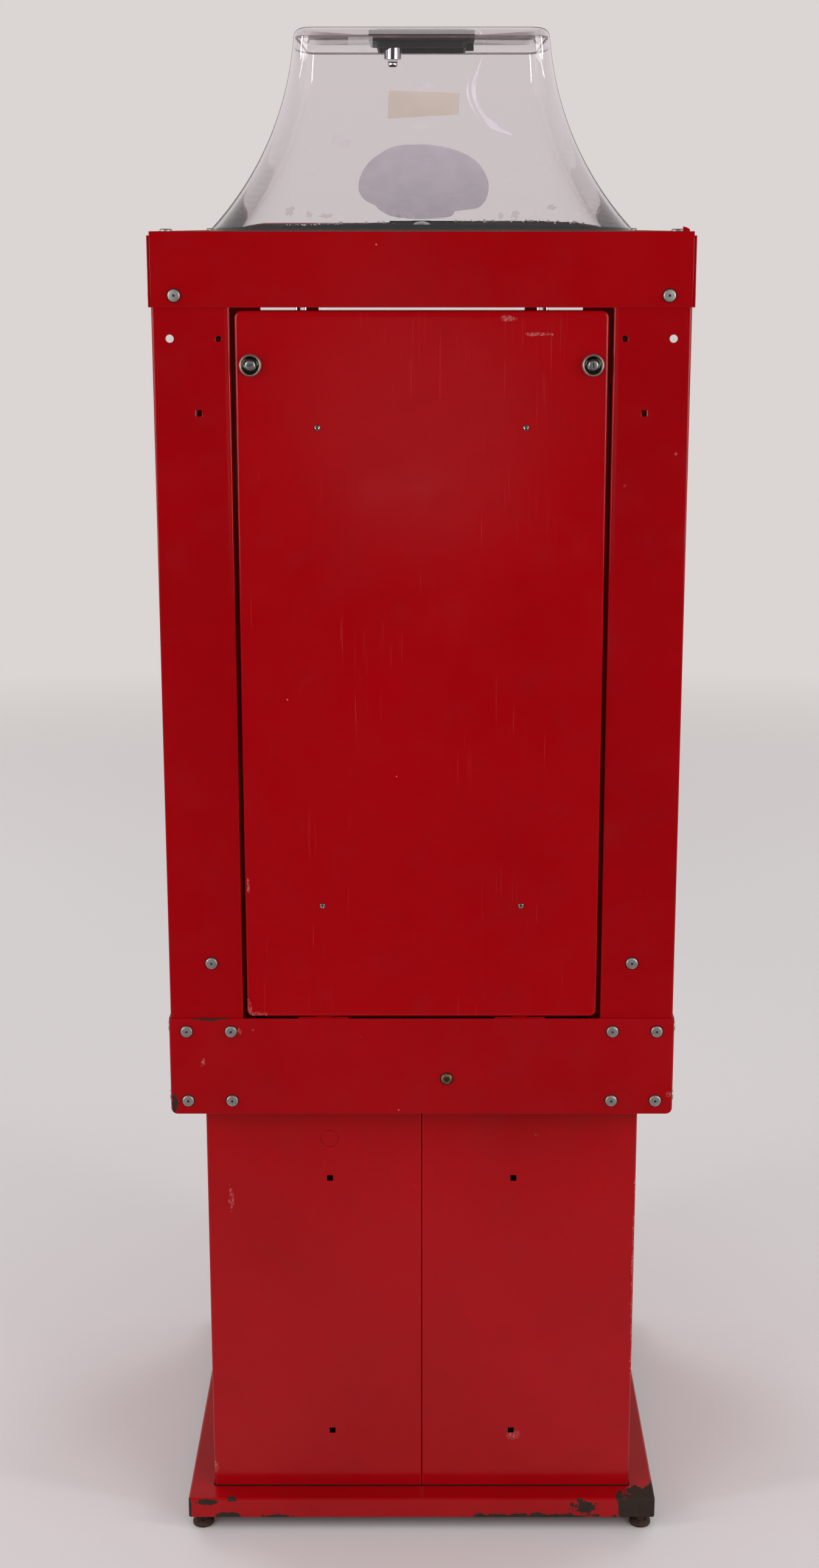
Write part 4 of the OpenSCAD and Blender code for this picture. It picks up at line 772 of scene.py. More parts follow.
@dataclass(frozen=True)
class PowderCoat(Finish):
    """Red powder coat on steel sheet, baked, a little dulled by years of use.

    The paint levels itself into a soft orange peel, so reflections are broad and slightly uneven.
    """

    base: str = "#9B030A"  # Its colour
    deep: str = "#920208"  # Its colour where the film is thicker
    dust: float = 0.0  # Share of dust in its colour, which also dulls it
    satin: float = 0.0  # Roughness on top of the usual
    marks: tuple[WearMark, ...] = ()
    hairlines: bool = False  # Whether fine upright scratches cross it

    def shade(self, tree: Tree, place: Socket) -> dict[str, Feed]:
        """Adds tone, grime, specks, hairlines, worn places and orange peel.

        Args:
            tree: The material's node tree.
            place: The point's place on the object, in metres.

        Returns:
            What the principled shader's inputs get.
        """
        node = partial(add_node, tree)
        # The film's thickness drifts over a hand's length, 260 mm; finger grime has 34 mm patches
        broad = node(Kind.NOISE, place, grains(260), 3)
        grime = node(Kind.RANGE, node(Kind.NOISE, place, grains(34), 6), 0.5, 0.78, 0.0, 0.55)
        colour = node(
            Kind.BLEND, node(Kind.RANGE, broad, 0.35, 0.7), srgb(self.base), srgb(self.deep)
        )
        colour = node(Kind.BLEND, node(Kind.TIMES, grime, 0.16), colour, srgb("#6E0E12"))
        if self.dust:
            # Dust settles in patches of 24 mm
            patch = node(Kind.NOISE, place, grains(24), 5)
            share = node(Kind.RANGE, patch, 0.3, 0.7, self.dust / 2, self.dust)
            colour = node(Kind.BLEND, share, colour, srgb("#7A4A48"))
        # Pale specks up to 2 mm wide, one to a cell of 45 mm, left out over areas of 90 mm
        cell_scale, speck_radius = 22.0, 0.022
        dot = node(Kind.BELOW, node(Kind.CELLS, place, cell_scale), speck_radius)
        pick = node(Kind.ABOVE, node(Kind.NOISE, place, grains(90), 1), 0.55)
        share = node(Kind.TIMES, node(Kind.TIMES, dot, pick), 0.55)
        colour = node(Kind.BLEND, share, colour, srgb("#D88A86"))
        if self.hairlines:
            # Real hairlines are 0.1 mm wide, too fine to show, so they are drawn 1.2 mm wide
            drawn_out = node(Kind.MAPPED, place, (1, 1, 1 / 90))
            line = node(Kind.RANGE, node(Kind.NOISE, drawn_out, grains(1.2), 1), 0.7, 0.76)
            where = node(Kind.RANGE, node(Kind.NOISE, place, grains(120), 2), 0.5, 0.62)
            share = node(Kind.TIMES, node(Kind.TIMES, line, where), 0.14)
            colour = node(Kind.BLEND, share, colour, srgb("#CC5A58"))
        # Wiping leaves the gloss uneven over 48 mm
        wiped = node(Kind.NOISE, place, grains(48), 4)
        dulled = self.dust + self.satin
        rough = node(Kind.RANGE, wiped, 0.3, 0.7, 0.11 + dulled, 0.17 + dulled)
        rough = node(Kind.PLUS, rough, node(Kind.TIMES, grime, 0.1))
        # Orange peel: waves 2.6 mm wide, as on real powder coat
        height = node(Kind.TIMES, node(Kind.NOISE, place, grains(2.6), 1), 0.06)
        for kind, pale, dark in (
            (Wear.SCUFF, "#C98C88", "#B9605C"), (Wear.RUST, "#211A16", "#38261D"),
        ):
            share = self.worn(tree, place, kind)
            if share is None:
                continue
            # Bare metal and scuffs change tone over 5 mm, and a scuff is broken every 3 mm
            tone = node(Kind.NOISE, place, grains(5), 4)
            if kind is Wear.RUST:
                height = node(Kind.MINUS, height, node(Kind.TIMES, share, 0.35))
            else:
                gaps = node(Kind.NOISE, place, grains(3), 3)
                share = node(Kind.TIMES, share, node(Kind.RANGE, gaps, 0.4, 0.7, 0.05, 0.6))
            colour = node(
                Kind.BLEND, share, colour, node(Kind.BLEND, tone, srgb(pale), srgb(dark))
            )
            rough = node(Kind.LARGER, rough, node(Kind.TIMES, share, 0.75))
        return {
            "Base Color": colour, "Roughness": rough, "IOR": 1.5, "Specular IOR Level": 0.3,
            "Normal": node(Kind.BUMP, height, 0.6 * MM, 0.35),
        }

    def worn(self, tree: Tree, place: Socket, kind: Wear) -> Optional[Socket]:
        """Mask of one kind of wear: inside each mark's ellipsoid, with an edge that wanders.

        Args:
            tree: The node tree.
            place: Output with the point's place.
            kind: The kind of wear.

        Returns:
            The mask, or None where there is none.
        """
        node = partial(add_node, tree)
        mask = None
        for mark in (m for m in self.marks if m.kind is kind):
            scale = np.array([1.0 / (r * MM) for r in mark.reach])
            shift = -(np.array(mark.centre) + np.array([0.0, AXIS_Y, 0.0])) * MM * scale
            length = node(Kind.LENGTH, node(Kind.MAPPED, place, tuple(scale), tuple(shift)))
            bays = node(Kind.MINUS, node(Kind.NOISE, place, grains(mark.grain), 3), 0.5)
            edge = node(Kind.TIMES, bays, 2 * mark.ragged)
            inside = node(Kind.RANGE, node(Kind.PLUS, length, edge), 1.04, 0.96)
            mask = inside if mask is None else node(Kind.LARGER, mask, inside)
        return mask


@dataclass(frozen=True)
class Patchy(Finish):
    """A finish whose tone and gloss vary in patches, over a fine relief."""

    base: str  # Its colour
    other: str  # Its colour in the patches
    smooth: float  # Its least roughness
    patch_mm: float
    spread: float  # How much rougher it is in the patches
    octaves: ClassVar[float] = 4
    # Values of the patches' noise from which and to which the colour changes
    tone: ClassVar[tuple[float, float]] = (0.4, 0.7)
    gloss: ClassVar[tuple[float, float]] = (0.3, 0.7)  # The same for the roughness
    relief: ClassVar[tuple[float, float]]  # Width in millimetres and octaves of the relief
    bump: ClassVar[tuple[float, float]]  # Depth in millimetres of the relief, and its strength

    def constants(self) -> dict[str, Feed]:
        """What the shader's inputs get that is the same all over."""
        return {}

    def shade(self, tree: Tree, place: Socket) -> dict[str, Feed]:
        """Adds tone and gloss that vary in patches, and the relief.

        Args:
            tree: The material's node tree.
            place: The point's place on the object, in metres.

        Returns:
            What the principled shader's inputs get.
        """
        node = partial(add_node, tree)
        patch = node(Kind.NOISE, place, grains(self.patch_mm), self.octaves)
        tone = node(Kind.RANGE, patch, *self.tone)
        rough = self.smooth
        if self.spread:
            rough = node(Kind.RANGE, patch, *self.gloss, self.smooth, self.smooth + self.spread)
        width, octaves = self.relief
        depth, strength = self.bump
        relief = node(Kind.NOISE, place, grains(width), octaves)
        return {
            "Base Color": node(Kind.BLEND, tone, srgb(self.base), srgb(self.other)),
            "Roughness": rough,
            "Normal": node(Kind.BUMP, relief, depth * MM, strength),
            **self.constants(),
        }


@dataclass(frozen=True)
class PlatedSteel(Patchy):
    """Zinc, nickel or chrome plated on steel: a metal with faint patches and rubbed grime."""

    base: str = "#B4B6B4"
    other: str = "#8E8D88"
    smooth: float = 0.24
    patch_mm: float = 6.0
    spread: float = 0.16
    gloss = (0.3, 0.75)
    # Plated grain is a few hundredths of a millimetre, so it is drawn 0.8 mm wide to show
    relief = (0.8, 2)
    bump = (0.05, 0.25)

    def constants(self) -> dict[str, Feed]:
        """What the shader's inputs get that is the same all over."""
        return {"Metallic": 1.0}


@dataclass(frozen=True)
class RustySteel(Patchy):
    """Bare steel that has rusted dark: dull brown with paler bloom in the hollows."""

    base: str = "#261B18"
    other: str = "#553729"
    smooth: float = 0.5
    patch_mm: float = 7.0
    spread: float = 0.35
    octaves = 6
    tone = (0.38, 0.68)
    # Rust pits are under 0.5 mm wide, so they are drawn 1.6 mm wide to show
    relief = (1.6, 5)
    bump = (0.4, 1.0)

    def constants(self) -> dict[str, Feed]:
        """What the shader's inputs get that is the same all over."""
        return {"Metallic": 0.25}


@dataclass(frozen=True)
class ClearPlastic(Finish):
    """Clear moulded plastic: glassy, faintly tinted, with handling haze in its gloss."""

    tint: str  # Its colour
    index: float
    haze: float  # Its roughness where it is most handled
    edge: str = "#CFC0D6"  # Its colour where it is seen through its edge

    def shade(self, tree: Tree, place: Socket) -> dict[str, Feed]:
        """Adds a clear shader with a little uneven haze, which lets lamps through.

        Args:
            tree: The material's node tree.
            place: The point's place on the object, in metres.

        Returns:
            What the principled shader's inputs get.
        """
        node = partial(add_node, tree)
        bare = node(Kind.SEE_THROUGH, srgb(self.tint))
        shadow = node(Kind.RAY, output="Is Shadow Ray")
        glass = tree.nodes["Principled BSDF"].outputs[0]
        # A wall of 4 mm dims by 2%, and an edge seen end on turns violet-grey
        deep = node(Kind.ABSORBING, srgb(self.edge), 7.0)
        surface = node(Kind.EITHER, shadow, glass, bare)
        feed(tree, tree.nodes["Material Output"], {"Surface": surface, "Volume": deep})
        # Hands and cloths leave haze in patches of 60 mm
        patch = node(Kind.NOISE, place, grains(60), 4)
        return {
            "Base Color": srgb(self.tint), "Transmission Weight": 1.0, "IOR": self.index,
            "Roughness": node(Kind.RANGE, patch, 0.4, 0.75, 0.0, self.haze),
        }


@dataclass(frozen=True)
class MouldedPlastic(Patchy):
    """Opaque injection-moulded plastic, with a fine moulded grain and dust in its hollows."""

    shine: float = 0.5  # Its specular level
    patch_mm: float = 30.0
    spread: float = 0.15
    octaves = 5
    tone = (0.45, 0.75)
    # A mould's grain is 0.1 mm wide, so it is drawn 0.9 mm wide to show
    relief = (0.9, 2)
    bump = (0.1, 0.4)

    def constants(self) -> dict[str, Feed]:
        """What the shader's inputs get that is the same all over."""
        return {"IOR": 1.5, "Specular IOR Level": self.shine}


@dataclass(frozen=True)
class StuckPaper(Patchy):
    """Paper, film, glue or dust on the dome: matt, more or less translucent, aged in patches."""

    smooth: float = 0.7
    patch_mm: float = 22.0
    spread: float = 0.0
    cover: float = 1.0  # How much it hides of what is behind it
    glow: float = 0.0  # How much light passes through it
    tone = (0.4, 0.65)
    # Such a sheet cockles every 6 mm
    relief = (6, 3)
    bump = (0.3, 0.4)

    def constants(self) -> dict[str, Feed]:
        """What the shader's inputs get that is the same all over."""
        glow = {"Transmission Weight": self.glow, "Specular IOR Level": 0.15}
        return {"Alpha": self.cover, **glow}


# Baked in one thick layer: deep red and glossy, with softened reflections
RED = PowderCoat("red powder coat", Slot.RED)
# Handled every week: pale scuffs by its locks and corners, and fine scratches
RED_DOOR = PowderCoat(
    "red powder coat of the door", Slot.RED, base="#9E020A", deep="#970209", hairlines=True,
    marks=marks(
        Wear.SCUFF,
        ((-96, 300, 1506), (9, 4, 3), 0.6, 5),
        ((-128, 300, 1489), (16, 4, 2), 1.3, 4),
        ((207, 300, 699), (4, 6, 12), 0.8, 4),
        ((198, 301, 692), (12, 4, 3), 1.2, 5),
        ((204, 301, 852), (1.6, 4, 12), 0.7, 4),
    ),
)
# Chipped at its corners, where brown steel shows
RED_BAND = PowderCoat(
    "red powder coat of the lower band", Slot.RED, base="#9B060E", deep="#92050B",
    marks=marks(
        Wear.RUST,
        ((297, 302, 580), (3.6, 5, 11), 1.1, 5),
        ((252, 302, 688), (24, 5, 3.4), 0.6, 8),
    ) + marks(
        Wear.SCUFF,
        ((218, 302, 671), (2.6, 3, 4), 1.5, 2),
        ((262, 302, 632), (2.4, 3, 4), 1.6, 2),
        ((202, 302, 673), (1.4, 2, 1), 0.4, 2),
        ((73, 302, 664), (1.2, 2, 1.2), 0.4, 2),
        ((-297, 302, 591), (3.2, 3, 3.6), 0.4, 3),
    ),
)
# Kicked and mopped for years: satin, with the paint gone in ragged patches
RED_BASE = PowderCoat(
    "red powder coat of the base", Slot.RED, base="#A0060E", deep="#94050B", satin=0.03,
    marks=marks(
        Wear.RUST,
        ((-312, 312, 30), (66, 62, 40), 0.5, 16),
        ((296, 296, 30), (5, 9, 16), 0.6, 6),
        ((272, 296, 39), (13, 6, 4), 0.9, 6),
        ((246, 296, 20), (17, 6, 5), 0.8, 7),
        ((240, 296, 44), (6, 8, 5), 0.9, 5),
        ((186, 296, 18), (22, 6, 4), 1.1, 7),
        ((-150, 296, 19), (90, 6, 4), 1.5, 9),
        ((-205, 296, 32), (14, 6, 9), 1.6, 7),
        ((296, 120, 22), (6, 60, 7), 1.3, 9),
        ((-296, -80, 22), (6, 90, 7), 1.3, 9),
        ((60, -296, 21), (120, 6, 5), 1.5, 9),
    ),
)
# Rubbed by shoes and crates: satin, with scuffs along its edges
RED_PEDESTAL = PowderCoat(
    "red powder coat of the pedestal", Slot.RED, base="#A4060E", deep="#99050C", satin=0.03,
    marks=marks(
        Wear.SCUFF,
        ((-116, 264, 116), (8, 3, 7), 1.6, 3),
        ((262, 262, 70), (4, 4, 8), 0.9, 4),
        ((-264, 264, 335), (2.6, 2.6, 112), 1.2, 7),
        ((235, 264, 438), (2.6, 3, 14), 1.7, 4),
    ),
)
# Seldom touched: clean and glossy
RED_COLLAR = PowderCoat("red powder coat of the collar", Slot.RED, base="#99030A", deep="#910208")
# Never wiped under the dome's edge: dust takes its gloss and greys its red
RED_FRAME = PowderCoat(
    "dusty red powder coat of the dome's frame", Slot.RED, base="#7E060A", deep="#6C0508", dust=0.3
)
# Clean and glossy, with a chip or two beside the bolts
RED_COLUMN = PowderCoat(
    "red powder coat of the columns", Slot.RED, base="#98020A", deep="#8F0208",
    marks=marks(
        Wear.SCUFF,
        ((-285.6, 300, 1357), (1.8, 2, 1.8), 0.4, 3),
        ((-229, 300, 1321), (1.6, 2, 1.6), 0.4, 3),
    ),
)
# Electroplated zinc, passivated clear: a cool grey metal with soft glints
ZINC = PlatedSteel("bright zinc plate", Slot.ZINC)
# The same zinc after years of air: pale and matt, nearly white in the lamps
DULL_ZINC = PlatedSteel(
    "dull zinc plate of the bolt heads", Slot.ZINC, "#D6D4D0", "#B7B1AB", 0.44, 4.0, 0.14
)
# Yellow-passivated zinc with rust coming through: brassy, with brown blotches
OLIVE_RUST = PlatedSteel(
    "rusted yellow zinc of the band screw", Slot.ZINC, "#A8936A", "#6A4636", 0.5, 2.4, 0.2
)
# Bright chrome over polished steel: a mirror with faint clouding
CHROME = PlatedSteel("polished chrome plate", Slot.CHROME, "#D2D3D5", "#BFC0C2", 0.07, 12.0, 0.06)
# Chrome darkened to brown-grey as a painted reflection of the dim room it mirrors: still glossy
CHROME_WITH_PAINTED_REFLECTION = PlatedSteel(
    "chrome plate darkened as a painted reflection", Slot.CHROME, "#A59C94", "#6E625A", 0.12, 3.0, 0.12
)
# Brushed and nickel plated: a warm, matt silver
NICKEL = PlatedSteel("satin nickel plate", Slot.CHROME, "#CFCBC5", "#B3AEA6", 0.4, 5.0, 0.12)
# Die-cast plug, tumbled and chromed: softer than the rim about it
PLUG = PlatedSteel(
    "satin chrome of the lock plugs", Slot.CHROME, "#C9C7C6", "#9D9793", 0.34, 2.0, 0.12
)
# Turned steel with no plating left: dark, rough brown
RUSTY = RustySteel("rusted bare steel", Slot.ZINC)
# Thick moulded polycarbonate: bright edges, strong bending of what is behind it
DOME_CLEAR = ClearPlastic("clear moulded polycarbonate", Slot.CLEAR, "#FEFCFE", 1.58, 0.03)
# Extruded acrylic sheet, sawn to size: flat and clear, with faintly green edges
PANE_CLEAR = ClearPlastic("clear extruded acrylic", Slot.CLEAR, "#FAFBFA", 1.49, 0.02, "#C6D8CC")
# Moulded polypropylene: black with a dull, waxy gloss
LID_BLACK = MouldedPlastic(
    "moulded black polypropylene of the lid", Slot.BLACK, "#050506", "#0F0E10", 0.42, shine=0.2
)
# Moulded styrene under a film of gum dust: black with no gloss left
DUSTY_BLACK = MouldedPlastic(
    "dusty black styrene of the wheel", Slot.BLACK, "#060506", "#0F0C0D", smooth=0.9, shine=0.0
)
# Moulded styrene, natural white: smooth, with a soft sheen
WHITE = MouldedPlastic("moulded white styrene", Slot.WHITE, "#E6E3DC", "#D6D2C8", smooth=0.3)
# Die-cut foam: black, with no shine but its skin's
FOAM = MouldedPlastic("closed-cell foam strip", Slot.FOAM, "#0E0E0F", "#1B1A1B", smooth=0.8)
# Cast vinyl film, frosted on its back: pale lilac, half seen through
LILAC_FILM = StuckPaper(
    "frosted lilac label film", Slot.CLEAR, "#BEB7C1", "#B3ACB6", cover=0.42, glow=0.25
)
# Rolled paper tape, browned by its glue: cream, and lit through from behind
OLD_TAPE = StuckPaper("aged paper tape", Slot.CLEAR, "#F7EEDD", "#EFE4D2", cover=0.8, glow=0.85)
# Drawn acetate tape with a matt face: a faint grey veil
CLEAR_TAPE = StuckPaper("matt clear tape", Slot.CLEAR, "#F2F0EF", "#E6E3E3", cover=0.25, glow=0.6)
# White glue run down and dried, its white also a painted highlight: opaque in the thick, veiled at
# its edges
GLUE_AND_HIGHLIGHT = StuckPaper("dried glue painted white as a highlight", Slot.CLEAR, "#FFFFFF", "#F4F1F4", cover=0.6, glow=0.1)
# Fluff and sugar dust rubbed on the wall: a grey breath, barely there
LINT = StuckPaper("lint and gum dust", Slot.CLEAR, "#ABA6A2", "#8F8984", cover=0.13)
# Sugar dust packed in the corner and blackened: dead matt
DUST = StuckPaper("packed gum dust", Slot.BLACK, "#0E0A0B", "#060505", cover=1.0)
# Broken candy shell: pale, matt crumbs
CRUMBS = StuckPaper("gum crumbs", Slot.WHITE, "#C9C2BE", "#7D7471", cover=1.0)
# Painted shade: a brown-grey line where the rim's edge looks dark through the neck, half seen
# through
NECK_SHADE = StuckPaper("painted shade line of the neck", Slot.CLEAR, "#6A5257", "#4F3B40", cover=0.5)
# Wax and dirt left by cleaning, and painted contact shade: dark red-brown, and the paint shows
# through
GRIME_AND_SHADE = StuckPaper("dark grime and painted contact shade", Slot.BLACK, "#2B0B0B", "#1B0808", cover=0.55)


# Pieces


def add_piece(
    name: str, shell: Shell, finish: Finish, body: str = "root", stands_for: Sequence[str] = (),
    ease: float = 0.0, sharp: float = 32.0,
) -> None:
    """Makes a mesh object of a surface, in the frame's place.

    Args:
        name: The piece's name.
        shell: Its surface, in millimetres about the cabinet's axis.
        finish: Its finish.
        body: The body that it rides on.
        stands_for: The frame's nodes that it replaces.
        ease: Width in millimetres of the rounding of its sharp edges, or zero.
        sharp: Angle in degrees past which an edge is shaded sharp.
    """
    mesh = bpy.data.meshes.new(name)
    points = (shell.points + np.array([0.0, AXIS_Y, 0.0])) * MM
    mesh.from_pydata(points.tolist(), [], shell.quads.tolist() + shell.tris.tolist())
    work = bmesh.new()
    work.from_mesh(mesh)
    bmesh.ops.remove_doubles(work, verts=work.verts, dist=MERGE)
    loose = [v for v in work.verts if not v.link_faces]
    bmesh.ops.delete(work, geom=loose, context="VERTS")
    bmesh.ops.recalc_face_normals(work, faces=work.faces)
    work.to_mesh(mesh)
    work.free()
    mesh.shade_smooth()
    mesh.set_sharp_from_angle(angle=math.radians(sharp))
    mesh.materials.append(finish.material())
    piece = bpy.data.objects.new(name, mesh)
    bpy.context.scene.collection.objects.link(piece)
    if ease > 0:
        bevel = piece.modifiers.new("eased edges", "BEVEL")
        bevel.width = ease * MM
        bevel.segments = 2
        bevel.limit_method = "ANGLE"
        bevel.angle_limit = math.radians(50)
    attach(piece, body)
    if stands_for:
        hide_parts(*stands_for)
    LOG.info("%s: %d faces on %s", name, len(mesh.polygons), body)


def dress(finish: Finish, *nodes: str) -> None:
    """Gives frame nodes, whose shape is already right, a finish.

    Args:
        finish: The finish.
        *nodes: Their names.
    """
    for node in nodes:
        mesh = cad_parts[node].data
        mesh.materials.clear()
        mesh.materials.append(finish.material())
        LOG.info("%s: dressed in %s", node, finish.name)


@dataclass
class Cabinet:
    """The windowed cabinet: corner posts, bands, collar and the plates inside."""

    sheet: float = 2.0
    bend: float = 3.0  # Outside radius of its bends
    edge: float = 0.45  # Rounding of the sheared edges
    column_face: float = 87.0
    column_return: float = 40.0  # Depth of its returns
    # (distance from the axis, drop below the collar, size, square) of each hole
    column_holes: tuple = ((280, 34, 9, False), (226, 34, 7, False), (249.5, 116, 7, True))
    jamb: float = 12.0  # Width of its jamb behind the door's edge
    post_front: float = 40.0  # Front leg of a front post
    wrap: float = 30.0  # Length of the rear band round the corners
    band_corner: float = 8.0  # Radius of the rear band's lower corners
    band_lip: float = 12.0  # How far in its lower lip starts
    coin_slip: float = 0.5  # Room round the coin mechanism in the skirt
    chute_half: float = 22.0  # Half width of the skirt's opening for the chute
    # Lower and upper edge of that opening, above the foot of the chute's frame
    chute_rise: tuple[float, float] = (12.0, 58.0)
    collar_sheet: float = 3.0  # Thickness of the collar's skirt
    collar_bend: float = 4.0  # Outside radius of its bends
    collar_edge: float = 0.6  # Rounding of the collar's edges
    frame_clear: float = 6.0  # Room between the dome's wall and the top frame
    frame_bend: float = 2.5  # Outside radius of the top frame's bend

    def build(self) -> None:
        """Builds the cabinet's pieces from the ground up."""
        self.half = Extent.of("right_rear_column").high[0]
        self.columns()
        self.posts()
        self.rear_band()
        self.skirt()
        self.collar()
        self.tab()
        self.top_frame()
        dress(RED, "display_floor", "door_keeps", "cabinet_floor")
        dress(ZINC, "floor_rails", "wheel_deck", "wheel_spindle")
        dress(DUSTY_BLACK, "hopper_deck")
        dress(FOAM, "dome_gasket")
        dress(PANE_CLEAR, "front_window", "right_window", "left_window", "drop_tube")

    def columns(self) -> None:
        """The two rear columns: channels with two round holes, a square one and a jamb."""
        box = Extent.of("right_rear_column")
        depth = self.column_return - self.bend
        flats = (depth, self.column_face - 2 * self.bend, depth)
        collar = Extent.of("rear_collar_band").low[2]
        heights = np.linspace(box.low[2], box.high[2], 3)
        inner, near = self.half - self.column_face, self.half - self.column_return
        jamb = block(
            (inner - self.jamb, near, box.low[2]),
            (inner + self.sheet, near + self.sheet, box.high[2]),
        )
        for side, name in ((1, "right_rear_column"), (-1, "left_rear_column")):
            start_x = self.half if side > 0 else -inner
            line = FoldLine((start_x, near), 90, flats, self.bend)
            holes = [
                Punch(line.along(1, start_x - self.bend - side * x), collar - drop, size, square)
                for x, drop, size, square in self.column_holes
            ]
            shell = folded(line, heights, self.sheet, holes)
            whole = Shell.joined(shell, jamb if side > 0 else jamb.mirrored())
            add_piece(f"{name}_sheet", whole, RED_COLUMN, stands_for=[name], ease=self.edge)

    def posts(self) -> None:
        """The two front posts: bent angles."""
        box = Extent.of("right_front_post")
        front = self.post_front - self.bend
        side = box.high[1] - box.low[1] - self.bend
        heights = (box.low[2], box.high[2])
        right = FoldLine((self.half - self.post_front, -self.half), 0, (front, side), self.bend)
        left = FoldLine((-self.half, box.high[1]), -90, (side, front), self.bend)
        for name, line in (("right_front_post", right), ("left_front_post", left)):
            shell = folded(line, heights, self.sheet)
            add_piece(f"{name}_sheet", shell, RED, stands_for=[name], ease=self.edge)

    def rear_band(self) -> None:
        """The lower band, wrapped round the rear corners.

        Its lower edge rises by R - sqrt(R^2 - p^2) where it lies p past the start of a corner of
        radius R.
        """
        box = Extent.of("rear_lower_band")
        out, low, corner = box.high[0], box.low[2], self.band_corner
        leg, face = self.wrap - self.bend, 2 * (out - self.bend)
        line = FoldLine((out, out - self.wrap), 90, (leg, face, leg), self.bend)
        steps = np.linspace(0, corner - self.bend, 5)
        cuts = [line.along(1, d) for d in (*steps, *(face - steps))]
        shell = folded(line, (low, low + 2 * corner, box.high[2]), self.sheet, cuts=cuts)
        past = (np.abs(shell.points[:, 0]) - (out - corner)).clip(0, corner)
        lift = corner - np.sqrt(corner**2 - past**2)
        bottom = shell.points[:, 2] < low + TINY
        shell.points[bottom, 2] += lift[bottom]
        lip = block(
            (-out + corner, out - self.band_lip, low),
            (out - corner, out - self.bend + 0.5, low + self.sheet),
        )
        add_piece(
            "rear_lower_band_sheet", Shell.joined(shell, lip), RED_BAND,
            stands_for=["rear_lower_band"], ease=self.edge,
        )

    def three_sides(self, box: Extent, bend: float) -> FoldLine:
        """Line of a sheet round the left, front and right of a box.

        Args:
            box: The box.
            bend: Outside radius of the sheet's bends.

        Returns:
            The line.
        """
        out, rear = box.high[:2]
        side = rear + out - bend
        return FoldLine((-out, rear), -90, (side, 2 * (out - bend), side), bend)

    def skirt(self) -> None:
        """The front and side skirt, with the openings for the coin works and the chute."""
        box = Extent.of("lower_skirt")
        out = box.high[0]
        line = self.three_sides(box, self.bend)
        coin, mouth = Extent.of("coin_mech_body"), Extent.of("chute_frame")
        low_x, high_x = coin.low[0] - self.coin_slip, coin.high[0] + self.coin_slip
        gap = (
            line.along(1, low_x + out - self.bend), line.along(1, high_x + out - self.bend),
            coin.low[2] - self.coin_slip, coin.high[2] + self.coin_slip,
        )
        middle = (mouth.low[0] + mouth.high[0]) / 2 + out - self.bend
        chute = (
            line.along(1, middle - self.chute_half), line.along(1, middle + self.chute_half),
            *(mouth.low[2] + rise for rise in self.chute_rise),
        )
        shell = folded(line, (box.low[2], box.high[2]), self.sheet, windows=[gap, chute])
        add_piece("lower_skirt_sheet", shell, RED_BAND, stands_for=["lower_skirt"], ease=self.edge)

    def collar(self) -> None:
        """The flat rear collar band and the thicker skirt on the other three sides."""
        band = Extent.of("rear_collar_band")
        flat = FoldLine((band.high[0], band.high[1]), 180, (band.high[0] - band.low[0],))
        box = Extent.of("collar_skirt")
        bent = self.three_sides(box, self.collar_bend)
        for name, node, line, at, thickness in (
            ("rear_collar_sheet", "rear_collar_band", flat, band, self.sheet),
            ("collar_skirt_sheet", "collar_skirt", bent, box, self.collar_sheet),
        ):
            shell = folded(line, (at.low[2], at.high[2]), thickness)
            add_piece(name, shell, RED_COLLAR, stands_for=[node], ease=self.collar_edge)

    def tab(self) -> None:
        """The curled red tab on the collar's top edge, at the photograph's right.

        A share s up it, the point at x is s (5.4 - 2.6 ((x - x1) / w)^2) above its foot, where x1
        is its higher end and w its width, and 2.6 s^2 in front of it.
        """
        wide, droop, thick = 7.5, 2.6, 0.8
        x = np.linspace(-295, -287.5, 7)[:, None]
        share = np.linspace(0, 1, 6)
        tall = 5.4 - droop * ((x - x[-1]) / wide) ** 2
        y = 297.4 - droop * share**2
        points = np.stack([x + 0 * share, y + 0 * x, 1599.6 + tall * share], axis=-1)
        inner = points - [0.0, thick, 0.0]
        skin = Shell(points.reshape(-1, 3), grid_quads(len(x), len(share)))
        add_piece("collar_tab", skin.closed_with(inner.reshape(-1, 3)), RED_COLLAR)

    def top_frame(self) -> None:
        """The frame that clamps the dome: a shallow pan with a rounded square opening.

        Its surface joins rounded squares from the outer foot, over the bend and across the flat
        to the opening, and back below.
        """
        box = Extent.of("top_frame")
        low, top, half = box.low[2], box.high[2], box.high[0]
        opening, corner = Dome().foot() + self.frame_clear, Dome.corner_low + self.frame_clear
        t, r, foot_corner, ease = self.sheet, self.frame_bend, 0.6, 0.4
        a = np.radians(np.linspace(0, 90, 5))
        levels = [(half, foot_corner, low)]
        levels += [(half - r + r * math.cos(x), r, top - r + r * math.sin(x)) for x in a]
        levels += [(opening + ease, corner, top), (opening, corner, top - ease)]
        levels += [(opening, corner, top - t), (half - t, foot_corner, top - t)]
        levels += [(half - t, foot_corner, low)]
        shell = lofted(square_loops(*np.array(levels).T), close=True)
        add_piece("top_frame_sheet", shell, RED_FRAME, stands_for=["top_frame"])


